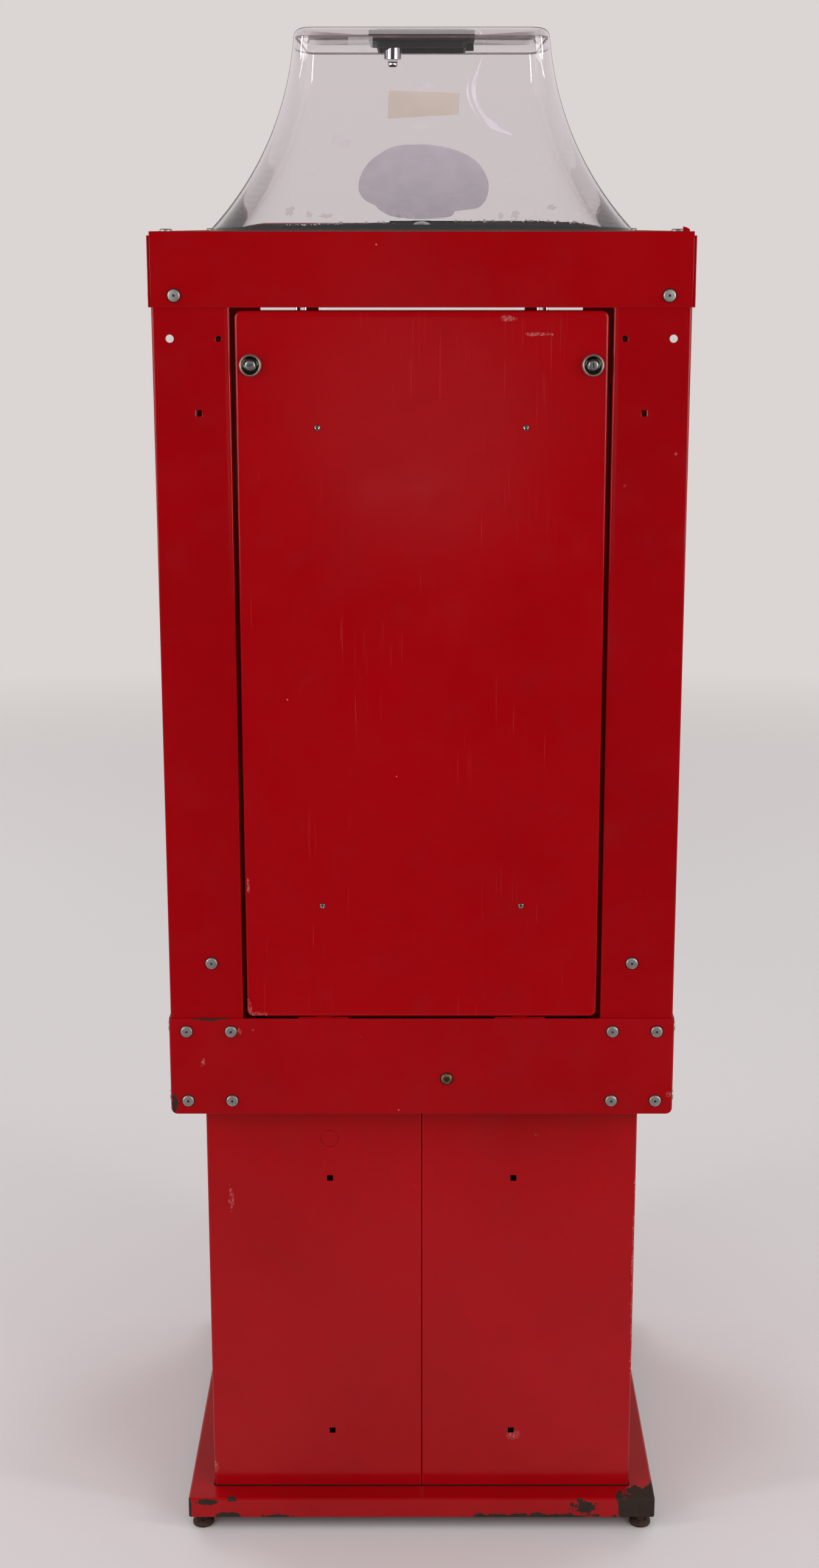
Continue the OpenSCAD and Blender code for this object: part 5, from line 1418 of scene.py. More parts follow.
@dataclass
class Pedestal:
    """The hollow pedestal of two half shells, its base pan and the levelling feet."""

    sheet: float = 2.0
    bend: float = 3.0  # Outside radius of its bends
    edge: float = 0.45  # Rounding of the sheared edges
    flange: float = 22.0
    holes_in: float = 113.0  # Distance of the square holes from the seam's plane
    hole: float = 7.5
    knock_out: float = 22.0
    base_corner: float = 4.0
    base_bend: float = 2.6  # Outside radius of its bend
    pad: float = 13.5
    weld_nut: float = 12.0  # Height of the nut over each foot

    def build(self) -> None:
        """Builds the base, the shells and the feet."""
        self.base()
        self.shells()
        self.feet()

    def feet_at(self, z: float) -> Array:
        """Places on the axes of the four feet at height z."""
        at = Extent.of("leveling_feet").high[0] - self.pad
        return np.array([(x, y, z) for x in (-at, at) for y in (-at, at)])

    def base(self) -> None:
        """The base pan, with a nut over each foot."""
        box = Extent.of("base_pan")
        half, top = box.high[0], box.high[2]
        depth = top - box.low[2]
        pan = Pan(
            (-half, -half), (half, half), self.base_corner, self.base_bend, depth, self.sheet
        )
        nut = revolved([(0, 0), (10, 0), (10, self.weld_nut), (0, self.weld_nut)], 6)
        nuts = nut.repeated(self.feet_at(top - self.sheet - self.weld_nut))
        whole = Shell.joined(pan.shell().moved(z=top), nuts)
        add_piece("base_pan_sheet", whole, RED_BASE, stands_for=["base_pan"], ease=self.edge)

    def shells(self) -> None:
        """The half shells: each sheet is folded four times, from seam to seam."""
        box = Extent.of("right_pedestal_shell")
        half, low, high = box.high[0], box.low[2], box.high[2]
        seam = self.sheet + self.flange - self.bend
        face = half - 2 * self.bend
        flats = (seam, face, 2 * (half - self.bend), face, seam)
        line = FoldLine((0, -half + self.bend + seam), -90, flats, self.bend)
        rear_hole = line.along(3, half - self.bend - self.holes_in)
        squares = [
            Punch(u, z, self.hole, True)
            for z in (low + 78, high - 102)
            for u in (line.along(1, self.holes_in - self.bend), rear_hole)
        ]
        pressed = ((0.99, -0.9), (0.95, -0.9), (0.94, 0.0), (0.0, 0.0))
        knock_out = Punch(rear_hole, high - 50, self.knock_out, rings=pressed)
        dent_place = line.along(3, half - self.bend - 141)
        dent = Punch(dent_place, high - 44, 4, rings=((0.6, -0.7), (0.0, -0.9)))
        ledges = [
            block((self.sheet, y, z), (half - self.sheet, y + self.flange, z + self.sheet))
            for y in (half - self.sheet - self.flange, self.sheet - half)
            for z in (low, high - self.sheet)
        ]
        for name, own in (("right_pedestal_shell", knock_out), ("left_pedestal_shell", dent)):
            shell = folded(line, (low, high), self.sheet, squares + [own])
            whole = Shell.joined(shell, *ledges)
            whole = whole if own is knock_out else whole.mirrored()
            add_piece(f"{name}_sheet", whole, RED_PEDESTAL, stands_for=[name], ease=self.edge)
        # A dark strip round the pedestal's foot where it meets the base pan: dirt, and painted
        # contact shade
        foot = np.array([[0.1, 3.0, 0.05], [1.6, 4.4, 0.05], [0.1, 3.0, 1.3]])
        loops = square_loops(half + foot[:, 0], foot[:, 1], low + foot[:, 2])
        add_piece("pedestal_foot_dirt_and_shade", lofted(loops, close=True), GRIME_AND_SHADE)

    def feet(self) -> None:
        """The levelling feet: a pad, a stud and a nut.

        The stud's radius is 4.75 + 0.25 cos(2 pi z / p), where p is the thread's pitch.
        """
        pitch = 1.5
        pad = eased([
            (0, 0, 0), (12.2, 0, 0.8), (self.pad, 1.6, 0.8), (self.pad, 5, 0.8), (8.5, 8, 0.8),
            (0, 8, 0),
        ])
        z = np.linspace(7.5, 38, 100)
        thread = np.column_stack([4.75 + 0.25 * np.cos(2 * np.pi * z / pitch), z])
        stud = np.vstack([[0, 7.5], thread, [0, 38]])
        nut = [(0, 7.5), (7.4, 7.5), (8.5, 8.4), (8.5, 12), (7.4, 12.6), (0, 12.6)]
        foot = Shell.joined(revolved(pad, 32), revolved(stud, 16), revolved(nut, 6))
        whole = foot.repeated(self.feet_at(0.0))
        add_piece("leveling_feet_turned", whole, RUSTY, stands_for=["leveling_feet"])


@dataclass
class Door:
    """The service door with its rivets and two cam locks."""

    sheet: float = 2.0
    bend: float = 3.0  # Outside radius of its bend
    edge: float = 0.45  # Rounding of its sheared edges
    corner: float = 8.0
    depth: float = 20.0
    taller: float = 1.6  # How much higher its top edge is than the frame's, as in the photograph
    lock_hole: float = 19.3  # Diameter of a lock's hole
    lock_half: float = 13.5  # Half the width of a lock, over its nut
    rivet: float = 3.25  # Radius of a rivet's head in the frame

    def build(self) -> None:
        """Builds the door's pieces."""
        box = Extent.of("door_panel")
        bodies = Extent.of("door_lock_bodies")
        self.face = box.high[1]
        self.lock_x = bodies.high[0] - self.lock_half
        self.lock_z = (bodies.low[2] + bodies.high[2]) / 2
        self.panel(box)
        self.rivets()
        self.locks()
        dress(ZINC, "door_stiffeners")
        dress(RED, "door_hinges", "door_hinge_leaves")

    def panel(self, box: Extent) -> None:
        """The door: a pan on edge, its face turned to +Y.

        Args:
            box: The frame's own door.
        """
        holes = tuple(Punch(s * self.lock_x, self.lock_z, self.lock_hole) for s in (-1, 1))
        low, high = (box.low[0], box.low[2]), (box.high[0], box.high[2] + self.taller)
        pan = Pan(low, high, self.corner, self.bend, self.depth, self.sheet, holes)
        upright = pan.shell().turned([(-1, 0, 0), (0, 0, 1), (0, 1, 0)]).moved(y=self.face)
        add_piece("door_sheet", upright, RED_DOOR, "rear_door", ["door_panel"], ease=self.edge)

    def on_face(self, shell: Shell, places: Sequence[tuple[float, float]]) -> Shell:
        """Copies a turned piece to places on the door's face.

        Args:
            shell: The piece, along +Z.
            places: (x, z) of each copy.

        Returns:
            The copies in one surface, pointing to the rear.
        """
        turns = np.broadcast_to(np.array(Facing.REAR.value), (len(places), 3, 3))
        return shell.repeated(np.array([(x, self.face, z) for x, z in places]), turns)

    def rivets(self) -> None:
        """Four pop rivets: a low dome with the snapped stem in its middle."""
        box = Extent.of("door_rivets")
        x = box.high[0] - self.rivet
        heights = (box.low[2] + self.rivet, box.high[2] - self.rivet)
        head = eased([
            (0, 0.5, 0), (0.95, 0.5, 0.1), (1.0, 0.1, 0.1), (1.35, 0.1, 0.1), (1.5, 0.9, 0.2),
            (2.4, 1.5, 0.6), (3.1, 1.0, 0.3), (3.3, 0.0, 0.1), (3.3, -0.2, 0.1), (0, -0.2, 0),
        ])
        tail = [(0, -7), (2.6, -7), (3, -6), (3, -3.6), (2, -3.5), (2, 0), (0, 0)]
        rivet = Shell.joined(revolved(head[::-1], 24), revolved(tail, 16))
        shell = self.on_face(rivet, [(s * x, z) for s in (-1, 1) for z in heights])
        add_piece("door_rivets_set", shell, ZINC, "rear_door", ["door_rivets"])

    def locks(self) -> None:
        """The lock barrels with their polished rims, and the plugs with key slots."""
        ring = eased([
            (8.8, -24, 0), (9.5, -24, 0.3), (9.5, 0, 0.2), (12.6, 0, 0.2), (12.65, 1.4, 0.4),
            (12.1, 4.2, 1.0), (11.2, 5.4, 0.5), (10.4, 5.3, 0.4), (10.2, 3.4, 0.4), (8.8, 2.2, 0.3),
            (8.8, -24, 0),
        ])
        dish = eased([
            (6.2, -23.5, 0), (8.7, -23.5, 0.1), (8.7, 2.2, 0.2), (10.3, 4.4, 0.1), (10.1, 4.6, 0.1),
            (8.6, 2.7, 1.0), (7.2, 2.3, 0.6), (6.9, 4.4, 0.3), (6.6, 4.8, 0.2), (6.2, 4.4, 0.2),
            (6.2, -23.5, 0),
        ])
        nut = [
            (9.4, -7), (12.6, -7), (13.4, -6.3), (13.4, -2.7), (12.6, -2), (9.4, -2), (9.4, -7),
        ]
        body = Shell.joined(revolved(ring, 48), revolved(nut, 6))
        places = [(s * self.lock_x, self.lock_z) for s in (-1, 1)]
        for name, part, finish in (
            ("door_lock_rings", body, NICKEL),
            # The dishes' brown-grey chrome is a painted reflection of the dim room they mirror
            ("door_lock_dishes", revolved(dish, 48), CHROME_WITH_PAINTED_REFLECTION),
        ):
            shell = self.on_face(part, places)
            add_piece(name, shell, finish, "rear_door", ["door_lock_bodies"])
        for name, side, turn in (("right", 1, 102), ("left", -1, 7)):
            shell = Shell.joined(self.plug(turn), *self.cam()).turned(Facing.REAR.value)
            shell = shell.moved(side * self.lock_x, self.face, self.lock_z)
            plug = f"{name}_lock_plug"
            add_piece(f"{plug}_turned", shell, PLUG, f"{name}_door_lock", [plug])

    def plug(self, turn: float) -> Shell:
        """A lock plug: circles that narrow to the outline of the key slot and go down into it.

        Args:
            turn: Angle of the slot in degrees.

        Returns:
            The closed surface, along +Z.
        """
        a = np.linspace(0, 2 * np.pi, 40, endpoint=False)
        circle = np.stack([np.cos(a), np.sin(a)], axis=-1)
        slot = circle / np.maximum(np.abs(circle[:, :1]) / 0.8, np.abs(circle[:, 1:]) / 3.1)
        loops = [
            (circle * 0.001, -27.3), (circle * 6, -27.3), (circle * 6, 3.0), (circle * 5.7, 4.0),
            (circle * 4.9, 4.7), (circle * 4.3, 4.9), (slot, 4.7), (slot, 1.5), (slot * 0.001, 1.5),
        ]
        way = math.radians(turn)
        spin = np.array([[math.cos(way), math.sin(way)], [-math.sin(way), math.cos(way)]])
        levels = [np.column_stack([loop @ spin, np.full(len(a), z)]) for loop, z in loops]
        return lofted(np.stack(levels))

    def cam(self) -> list[Shell]:
        """The cam, which hangs straight down when the door is free, and its nut."""
        plate = block((-6, -6, -27.3), (6, 20, -24.8), 3.0)
        nut = revolved([(0, -30.3), (4.6, -30.3), (5, -29.8), (5, -27.2), (0, -27.2)], 6)
        return [plate, nut]


@dataclass
class Dome:
    """The clear hopper dome: a rounded square that flares towards its clamped foot."""

    flare_radius: float = 370.0  # Radius of the flare, seen from the side
    flare_start: float = 7.0  # Lean of the flare's upper end in degrees
    neck_width: float = 297.4  # Width below the top rim
    neck_drop: float = 21.5  # Drop from the top to the flare
    rim: float = 11.0  # Radius of the top rim
    rim_in: float = 1.2  # How far the rim stands in from the neck
    wall: float = 4.0  # Wall thickness at the foot
    thin: float = 1.8  # Wall thickness at the rim
    corner_top: float = 22.0  # Corner radius at the top
    corner_low: ClassVar[float] = 60.0  # Corner radius at the foot
    flange: float = 16.0  # Width of the clamped flange
    flange_sheet: float = 3.0  # Thickness of the flange
    mouth: float = 126.5  # Side of the square mouth
    levels: int = 28  # Levels in the flared wall

    def __post_init__(self) -> None:
        """Works out the flare's centre and the angle at which it meets the flange."""
        box = Extent.of("dome")
        self.low, self.top = box.low[2], box.high[2]
        a = math.radians(self.flare_start)
        self.centre_x = self.neck_width / 2 + self.flare_radius * math.cos(a)
        self.centre_z = self.top - self.neck_drop + self.flare_radius * math.sin(a)
        rise = self.centre_z - self.low - self.flange_sheet
        self.flare_end = math.asin(rise / self.flare_radius)

    def foot(self) -> float:
        """Half-width where the wall meets the flange."""
        return self.centre_x - self.flare_radius * math.cos(self.flare_end)

    def half_at(self, z: Array) -> Array:
        """Half-width of the outside on the flare at height z: C - sqrt(R^2 - (z - Cz)^2)."""
        rise = self.centre_z - np.asarray(z, float)
        return self.centre_x - np.sqrt(self.flare_radius**2 - rise**2)

    def flare(self, depth: Union[float, Array]) -> list[tuple[float, float, float]]:
        """Levels of the flared wall, from the foot up: an arc of radius R + depth.

        Args:
            depth: How deep below the outside, one value or one for each level.

        Returns:
            (half-width, corner radius, height) of each level.
        """
        a = np.linspace(self.flare_end, math.radians(self.flare_start), self.levels)
        r = self.flare_radius + depth
        narrowing = (self.corner_top - self.corner_low) * np.linspace(0, 1, self.levels)
        corner = self.corner_low + narrowing - depth
        return list(zip(self.centre_x - r * np.cos(a), corner, self.centre_z - r * np.sin(a)))

    def crown(self, depth: float) -> list[tuple[float, float, float]]:
        """Levels of the rounded top rim, from the neck up: a quarter circle of radius r - depth.

        Args:
            depth: How deep below the outside.

        Returns:
            (half-width, corner radius, height) of each level.
        """
        a = np.radians(np.linspace(0, 90, 10))
        r = self.rim - depth
        half = self.neck_width / 2 - self.rim_in - self.rim + r * np.cos(a)
        corner = self.corner_top - depth - 0.5 * r * (1 - np.cos(a))
        return list(zip(half, corner, self.top - self.rim + r * np.sin(a)))

    def shell(self) -> Shell:
        """The closed dome: flange, outer wall, rim, mouth, and the inner wall back down.

        Returns:
            The closed surface.
        """
        ring, corner = self.foot() + self.flange, self.corner_low + 6
        mouth = self.mouth / 2
        levels = [(ring, corner, self.low), (ring, corner, self.low + self.flange_sheet)]
        levels += self.flare(0) + self.crown(0)
        levels += [(mouth + 1, 10, self.top), (mouth, 9, self.top - 0.6)]
        levels += [(mouth, 9, self.top - self.thin)]
        levels += self.crown(self.thin)[::-1]
        levels += self.flare(np.linspace(self.wall, self.thin, self.levels))[::-1]
        levels += [(self.foot() - self.wall, self.corner_low, self.low)]
        half, corner, z = np.array(levels).T
        return lofted(square_loops(half, corner, z, 14), close=True)


def smooth_loop(corners: Sequence, steps: int = 4) -> Array:
    """Runs a closed curve through points.

    Between P1 and P2, with neighbours P0 and P3, it is the cubic
    P1 + t (P2 - P0) / 2 + t^2 (2 P0 - 5 P1 + 4 P2 - P3) / 2 + t^3 (3 (P1 - P2) + P3 - P0) / 2.

    Args:
        corners: The points.
        steps: Pieces between two of them.

    Returns:
        (n, 2) points.
    """
    p1 = np.asarray(corners, float)
    p0, p2, p3 = (np.roll(p1, -k, axis=0) for k in (-1, 1, 2))
    t = (np.arange(steps) / steps)[None, :, None]
    p0, p1, p2, p3 = (p[:, None] for p in (p0, p1, p2, p3))
    curve = p1 + t * (p2 - p0) / 2 + t**2 * (2 * p0 - 5 * p1 + 4 * p2 - p3) / 2
    return (curve + t**3 * (3 * (p1 - p2) + p3 - p0) / 2).reshape(-1, 2)


@dataclass
class HopperTop:
    """The dome with its fill lid, lock, stuck labels and dust."""

    dome: Dome = field(default_factory=Dome)
    lock_rim: float = 12.0  # Radius of the lid lock's rim
    lock_low: float = -30.8  # Depth of its cam below the dome's top
    # Lengths of the cam up to its joggle and in all, the joggle's rise, its thickness
    cam: tuple[float, float, float, float] = (16.0, 40.0, 7.0, 2.5)
    film_lift: float = 0.1  # Room between the dome and what is stuck on it
    dust_ends: tuple[float, float] = (-224.0, 196.0)  # Where the ridge of dust ends, along X
    dust_wide: float = 20.0
    crumbs: int = 110

    def build(self) -> None:
        """Builds the dome and what is on it."""
        add_piece("dome_moulding", self.dome.shell(), DOME_CLEAR, stands_for=["dome"], sharp=50)
        self.lid()
        self.lid_lock()
        self.labels()
        self.painted_neck_shade()
        self.dust()

    def lid(self) -> None:
        """The fill lid: a flange with rounded corners over a two-stepped skirt and a catch.

        Its surface joins rounded squares: in below the lid, down and up the skirt, over the top.
        """
        z = self.dome.top
        half, corner, height = np.array([
            (0.1, 0.1, -1), (59.5, 5, -1), (59.5, 5, -7), (50.5, 5, -8), (50.5, 5, -17.5),
            (53, 6, -17.5), (53.5, 6, -10.5), (54.5, 6, -10), (62.0, 8, -10), (62.5, 8, -9.3),
            (62.5, 8, 0.0), (69.2, 12, 0.0), (69.5, 12, 0.3), (69.5, 12, 1.4), (68.6, 12, 2.4),
            (64, 10, 3.0), (20, 6, 3.05), (0.1, 0.1, 3.0),
        ]).T
        body = lofted(square_loops(half, corner, height + z))
        catch = block((-62.4, -9, z - 17.5), (-52, 9, z - 1), 1.5)
        ribs = [block((x - 1, -50, z - 9), (x + 1, 50, z - 0.5)) for x in (-26, 0)]
        whole = Shell.joined(body, catch, *ribs)
        add_piece("fill_lid_moulding", whole, LID_BLACK, "lid", ["fill_lid"])

    def lid_lock(self) -> None:
        """The lid's lock barrel, and the plug with its joggled cam and nut."""
        z, low = self.dome.top, self.lock_low
        x = Extent.of("lid_lock_body").high[0] - self.lock_rim
        rim = eased([
            (6.05, -28, 0), (9.9, -28, 0.4), (9.9, 3, 0.2), (self.lock_rim, 3, 0.2),
            (self.lock_rim, 4.2, 0.5), (10.8, 5, 0.5), (8, 5, 0.5), (7, 3.6, 0.3), (6.05, 3.4, 0.1),
            (6.05, -28, 0),
        ])
        bands = [block((s * 10 - 0.6, -5, z - 27), (s * 10 + 0.6, 5, z - 1)) for s in (-1, 1)]
        barrel = Shell.joined(revolved(rim, 40).moved(z=z), *bands).moved(x)
        add_piece("lid_lock_barrel", barrel, CHROME, "lid", ["lid_lock_body"])
        joggle, reach, rise, thick = self.cam
        line = eased(
            [(-8, 0, 0), (joggle, 0, 2), (joggle + rise, rise, 2), (reach, rise, 0)], 4
        )
        outline = np.vstack([line, (line + [0.0, thick])[::-1]])
        sides = [
            np.column_stack([np.full(len(outline), w), -outline[:, 0], outline[:, 1] + low])
            for w in (-6.0, 6.0)
        ]
        nut = eased([
            (0, -6, 0), (4, -6, 1.2), (6, -4.4, 1.5), (6, -1, 0.6), (5.4, 0, 0.4), (0, 0, 0),
        ])
        shell = Shell.joined(
            lofted(np.stack(sides), caps=True),
            Door().plug(30).moved(z=-0.3),
            revolved(nut, 20).moved(z=low),
            revolved([(0, low), (6, low), (6, -20), (0, -20)], 24),
        )
        add_piece("lid_lock_cam_bent", shell.moved(x, 0, z), CHROME, "lid_lock", ["lid_lock_cam"])

    def on_dome(
        self, side: int, flat: Array, wrap: bool = False, thickness: Union[float, Array] = 0.12
    ) -> Shell:
        """A thin film that lies on the front or rear of the dome.

        A point (s, z) of the grid goes to (s, side * (half(z) + lift), z).

        Args:
            side: +1 for the rear face, -1 for the front face.
            flat: (rows, cols, 2) grid of points (x, z).
            wrap: Whether its last column joins the first.
            thickness: Its thickness, one value or one for each column.

        Returns:
            The closed film.
        """
        skins = []
        for lift in (self.film_lift + thickness, self.film_lift):
            y = side * (self.dome.half_at(flat[..., 1]) + lift)
            skins.append(np.stack([flat[..., 0], y, flat[..., 1]], axis=-1).reshape(-1, 3))
        rows, cols = flat.shape[:2]
        return Shell(skins[0], grid_quads(rows, cols, wrap)).closed_with(skins[1])

    def film(self, side: int, outline: Array) -> Shell:
        """A film with an outline: a grid over the outline's own polar coordinates.

        Args:
            side: +1 for the rear face, -1 for the front face.
            outline: (n, 2) points (x, z).

        Returns:
            The closed film.
        """
        middle = outline.mean(axis=0)
        share = np.linspace(0.001, 1, 9)[:, None, None]
        return self.on_dome(side, middle + share * (outline - middle), wrap=True)

    def bead(self, side: int, middle: Sequence, width: Sequence[float], rise: float) -> Shell:
        """A run of glue along a smooth line, whose cross-section is a flat half ellipse.

        Args:
            side: +1 for the rear face, -1 for the front face.
            middle: Points (x, z) of the line.
            width: Its width at each of them.
            rise: Its height at its middle.

        Returns:
            The closed bead.
        """
        count = 8 * len(middle)
        curve = eased([(*point, 30) for point in middle], 6)
        along, fine = np.linspace(0, 1, len(curve)), np.linspace(0, 1, count)
        line = np.stack([np.interp(fine, along, curve[:, k]) for k in (0, 1)], axis=-1)
        numbers = np.linspace(0, len(middle) - 1, count)
        half = np.interp(numbers, np.arange(len(middle)), width) / 2
        ahead = np.gradient(line, axis=0)
        ahead /= np.linalg.norm(ahead, axis=1, keepdims=True)
        across = np.stack([-ahead[:, 1], ahead[:, 0]], axis=-1)
        steps = np.linspace(-1, 1, 9)
        flat = line[:, None] + steps[None, :, None] * (half[:, None] * across)[:, None]
        return self.on_dome(side, flat, thickness=0.05 + rise * np.sqrt(1 - steps**2))

    def labels(self) -> None:
        """The bare label, tapes and glue (white as a painted highlight) on the front wall, and an
        old label by the lid's lock.
        """
        oval = smooth_loop([
            (0, 1704.8), (33.8, 1702.6), (55.9, 1692.1), (71.1, 1679.4), (80.1, 1664.2),
            (82.8, 1650.5), (80.6, 1641.4), (74.4, 1633.7), (61, 1626.7), (57, 1622.1),
            (42.7, 1613.5), (22.6, 1610), (2.4, 1608.8), (-17.8, 1609.6), (-33.9, 1611.2),
            (-41.1, 1614.3), (-44.2, 1619), (-60.3, 1621.3), (-73.9, 1623.6), (-81.7, 1630.6),
            (-85.5, 1637.5), (-87.6, 1650.5), (-84.9, 1663.5), (-75.1, 1679.4), (-59.1, 1691.4),
            (-37, 1699.6), (-18.1, 1703.3),
        ])
        add_piece("oval_label", self.film(-1, oval), LILAC_FILM)
        for name, finish, side, corners in (
            ("paper_tape", OLD_TAPE, -1,
             [(41.9, 1771), (43.7, 1736.4), (-47.9, 1741.9), (-48.1, 1767.7)]),
            ("small_clear_tape", CLEAR_TAPE, -1,
             [(8.5, 1780.9), (8.5, 1770.7), (-14, 1770.7), (-13.9, 1780.9)]),
            ("turned_clear_tape", CLEAR_TAPE, -1,
             [(112.8, 1718.2), (117, 1707.1), (97.6, 1696.6), (90.2, 1708.6)]),
            ("clear_lock_label", CLEAR_TAPE, 1, [(56, 1799), (84, 1799), (84, 1815), (56, 1815)]),
        ):
            add_piece(name, self.film(side, self.dense(np.array(corners, float))), finish)
        # Glue beads whose white is also a painted highlight of the bright streak on the front wall
        for k, (middle, width) in enumerate((
            ([(-80, 1823), (-73, 1800), (-65, 1778), (-68, 1757), (-80, 1738), (-96, 1724),
              (-116, 1717)], [0.6, 3.4, 5.4, 4.0, 4.2, 9.0, 2.0]),
            ([(-60, 1788), (-57, 1770), (-64, 1750), (-74, 1736)], [0.4, 3.2, 2.2, 0.4]),
        )):
            add_piece(f"glue_bead_highlight_{k + 1}", self.bead(-1, middle, width, 0.35), GLUE_AND_HIGHLIGHT)

    def painted_neck_shade(self) -> None:
        """A brown-grey line of painted shade inside the dome's neck, where its walls turn into the
        rim.
        """
        half = self.dome.neck_width / 2 - self.dome.rim_in - self.dome.thin
        corner = self.dome.corner_top - self.dome.thin
        z = self.dome.top - self.dome.rim
        loops = square_loops(
            [half - 0.1, half - 0.6, half - 0.1], [corner] * 3, [z - 1.9, z - 0.2, z + 0.9]
        )
        add_piece("neck_shade_line", lofted(loops, close=True), NECK_SHADE)

    def dust(self) -> None:
        """What years of gumballs left in the hopper: dust and crumbs along its front foot.

        The ridge is a grid over (x, y) whose height is a low arch, sin(pi s)^0.6 at a share s of
        its width, with uneven bumps. Crumbs are small flattened balls, strewn over it at seeded
        random places.
        """
        chance = np.random.default_rng(7)
        deck = Extent.of("top_frame").low[2]
        foot = self.dome.foot() - self.dome.wall
        x = np.linspace(*self.dust_ends, 140)
        across = np.linspace(0, 1, 7)
        arch = np.interp(
            x, [-224, -200, -156, -113, -35, 59, 108, 196],
            [8.2, 10.2, 12.6, 12.4, 11.9, 9.8, 8.6, 5.8],
        )
        arch += chance.normal(0, 0.3, len(x))
        rise = np.sin(np.pi * across.clip(0.02, 0.98)) ** 0.6
        depth = foot - 3 - self.dust_wide * across
        column = 0 * x[:, None]
        top = np.stack(
            [x[:, None] + 0 * across, -depth + column, deck + arch[:, None] * rise], axis=-1
        )
        base = top * [1, 1, 0] + [0, 0, deck]
        skin = Shell(top.reshape(-1, 3), grid_quads(len(x), len(across)))
        add_piece("hopper_dust", skin.closed_with(base.reshape(-1, 3)), DUST, sharp=60)
        ball = revolved([(0, -1), (0.8, -0.6), (1, 0), (0.7, 0.6), (0, 0.8)], 7)
        count = self.crumbs
        at = np.column_stack([
            chance.uniform(-222, 190, count), chance.uniform(-foot + 8, -foot + 22, count),
            np.zeros(count),
        ])
        at[:, 2] = deck + np.interp(at[:, 0], x, arch) + chance.uniform(-1.5, 0.8, count)
        size = chance.uniform(0.5, 2.3, count)
        turns = size[:, None, None] * np.eye(3)[None] * chance.uniform(0.7, 1.5, (count, 3, 1))
        add_piece("hopper_crumbs", ball.repeated(at, turns), CRUMBS)
        a = np.linspace(0, 2 * np.pi, 18, endpoint=False)
        for k, (s, z, wide, high) in enumerate((
            (175, 1619, 5, 6), (149, 1615, 4, 4), (127, 1613, 8, 3), (-123, 1614, 5, 5),
            (-172, 1624, 6, 4), (30, 1612, 3, 2.4), (-105, 1612, 3, 5),
        )):
            reach = 1 + 0.3 * chance.normal(size=len(a))
            ring = np.stack([s + wide * reach * np.cos(a), z + high * reach * np.sin(a)], axis=-1)
            add_piece(f"wall_dust_{k + 1}", self.film(-1, ring), LINT)

    @staticmethod
    def dense(corners: Array, steps: int = 10) -> Array:
        """Divides each side of a polygon into equal steps.

        Args:
            corners: (n, 2) points.
            steps: Steps to a side.

        Returns:
            (n * steps, 2) points.
        """
        t = np.linspace(0, 1, steps, endpoint=False)[None, :, None]
        after = np.roll(corners, -1, axis=0)
        return (corners[:, None] * (1 - t) + after[:, None] * t).reshape(-1, 2)


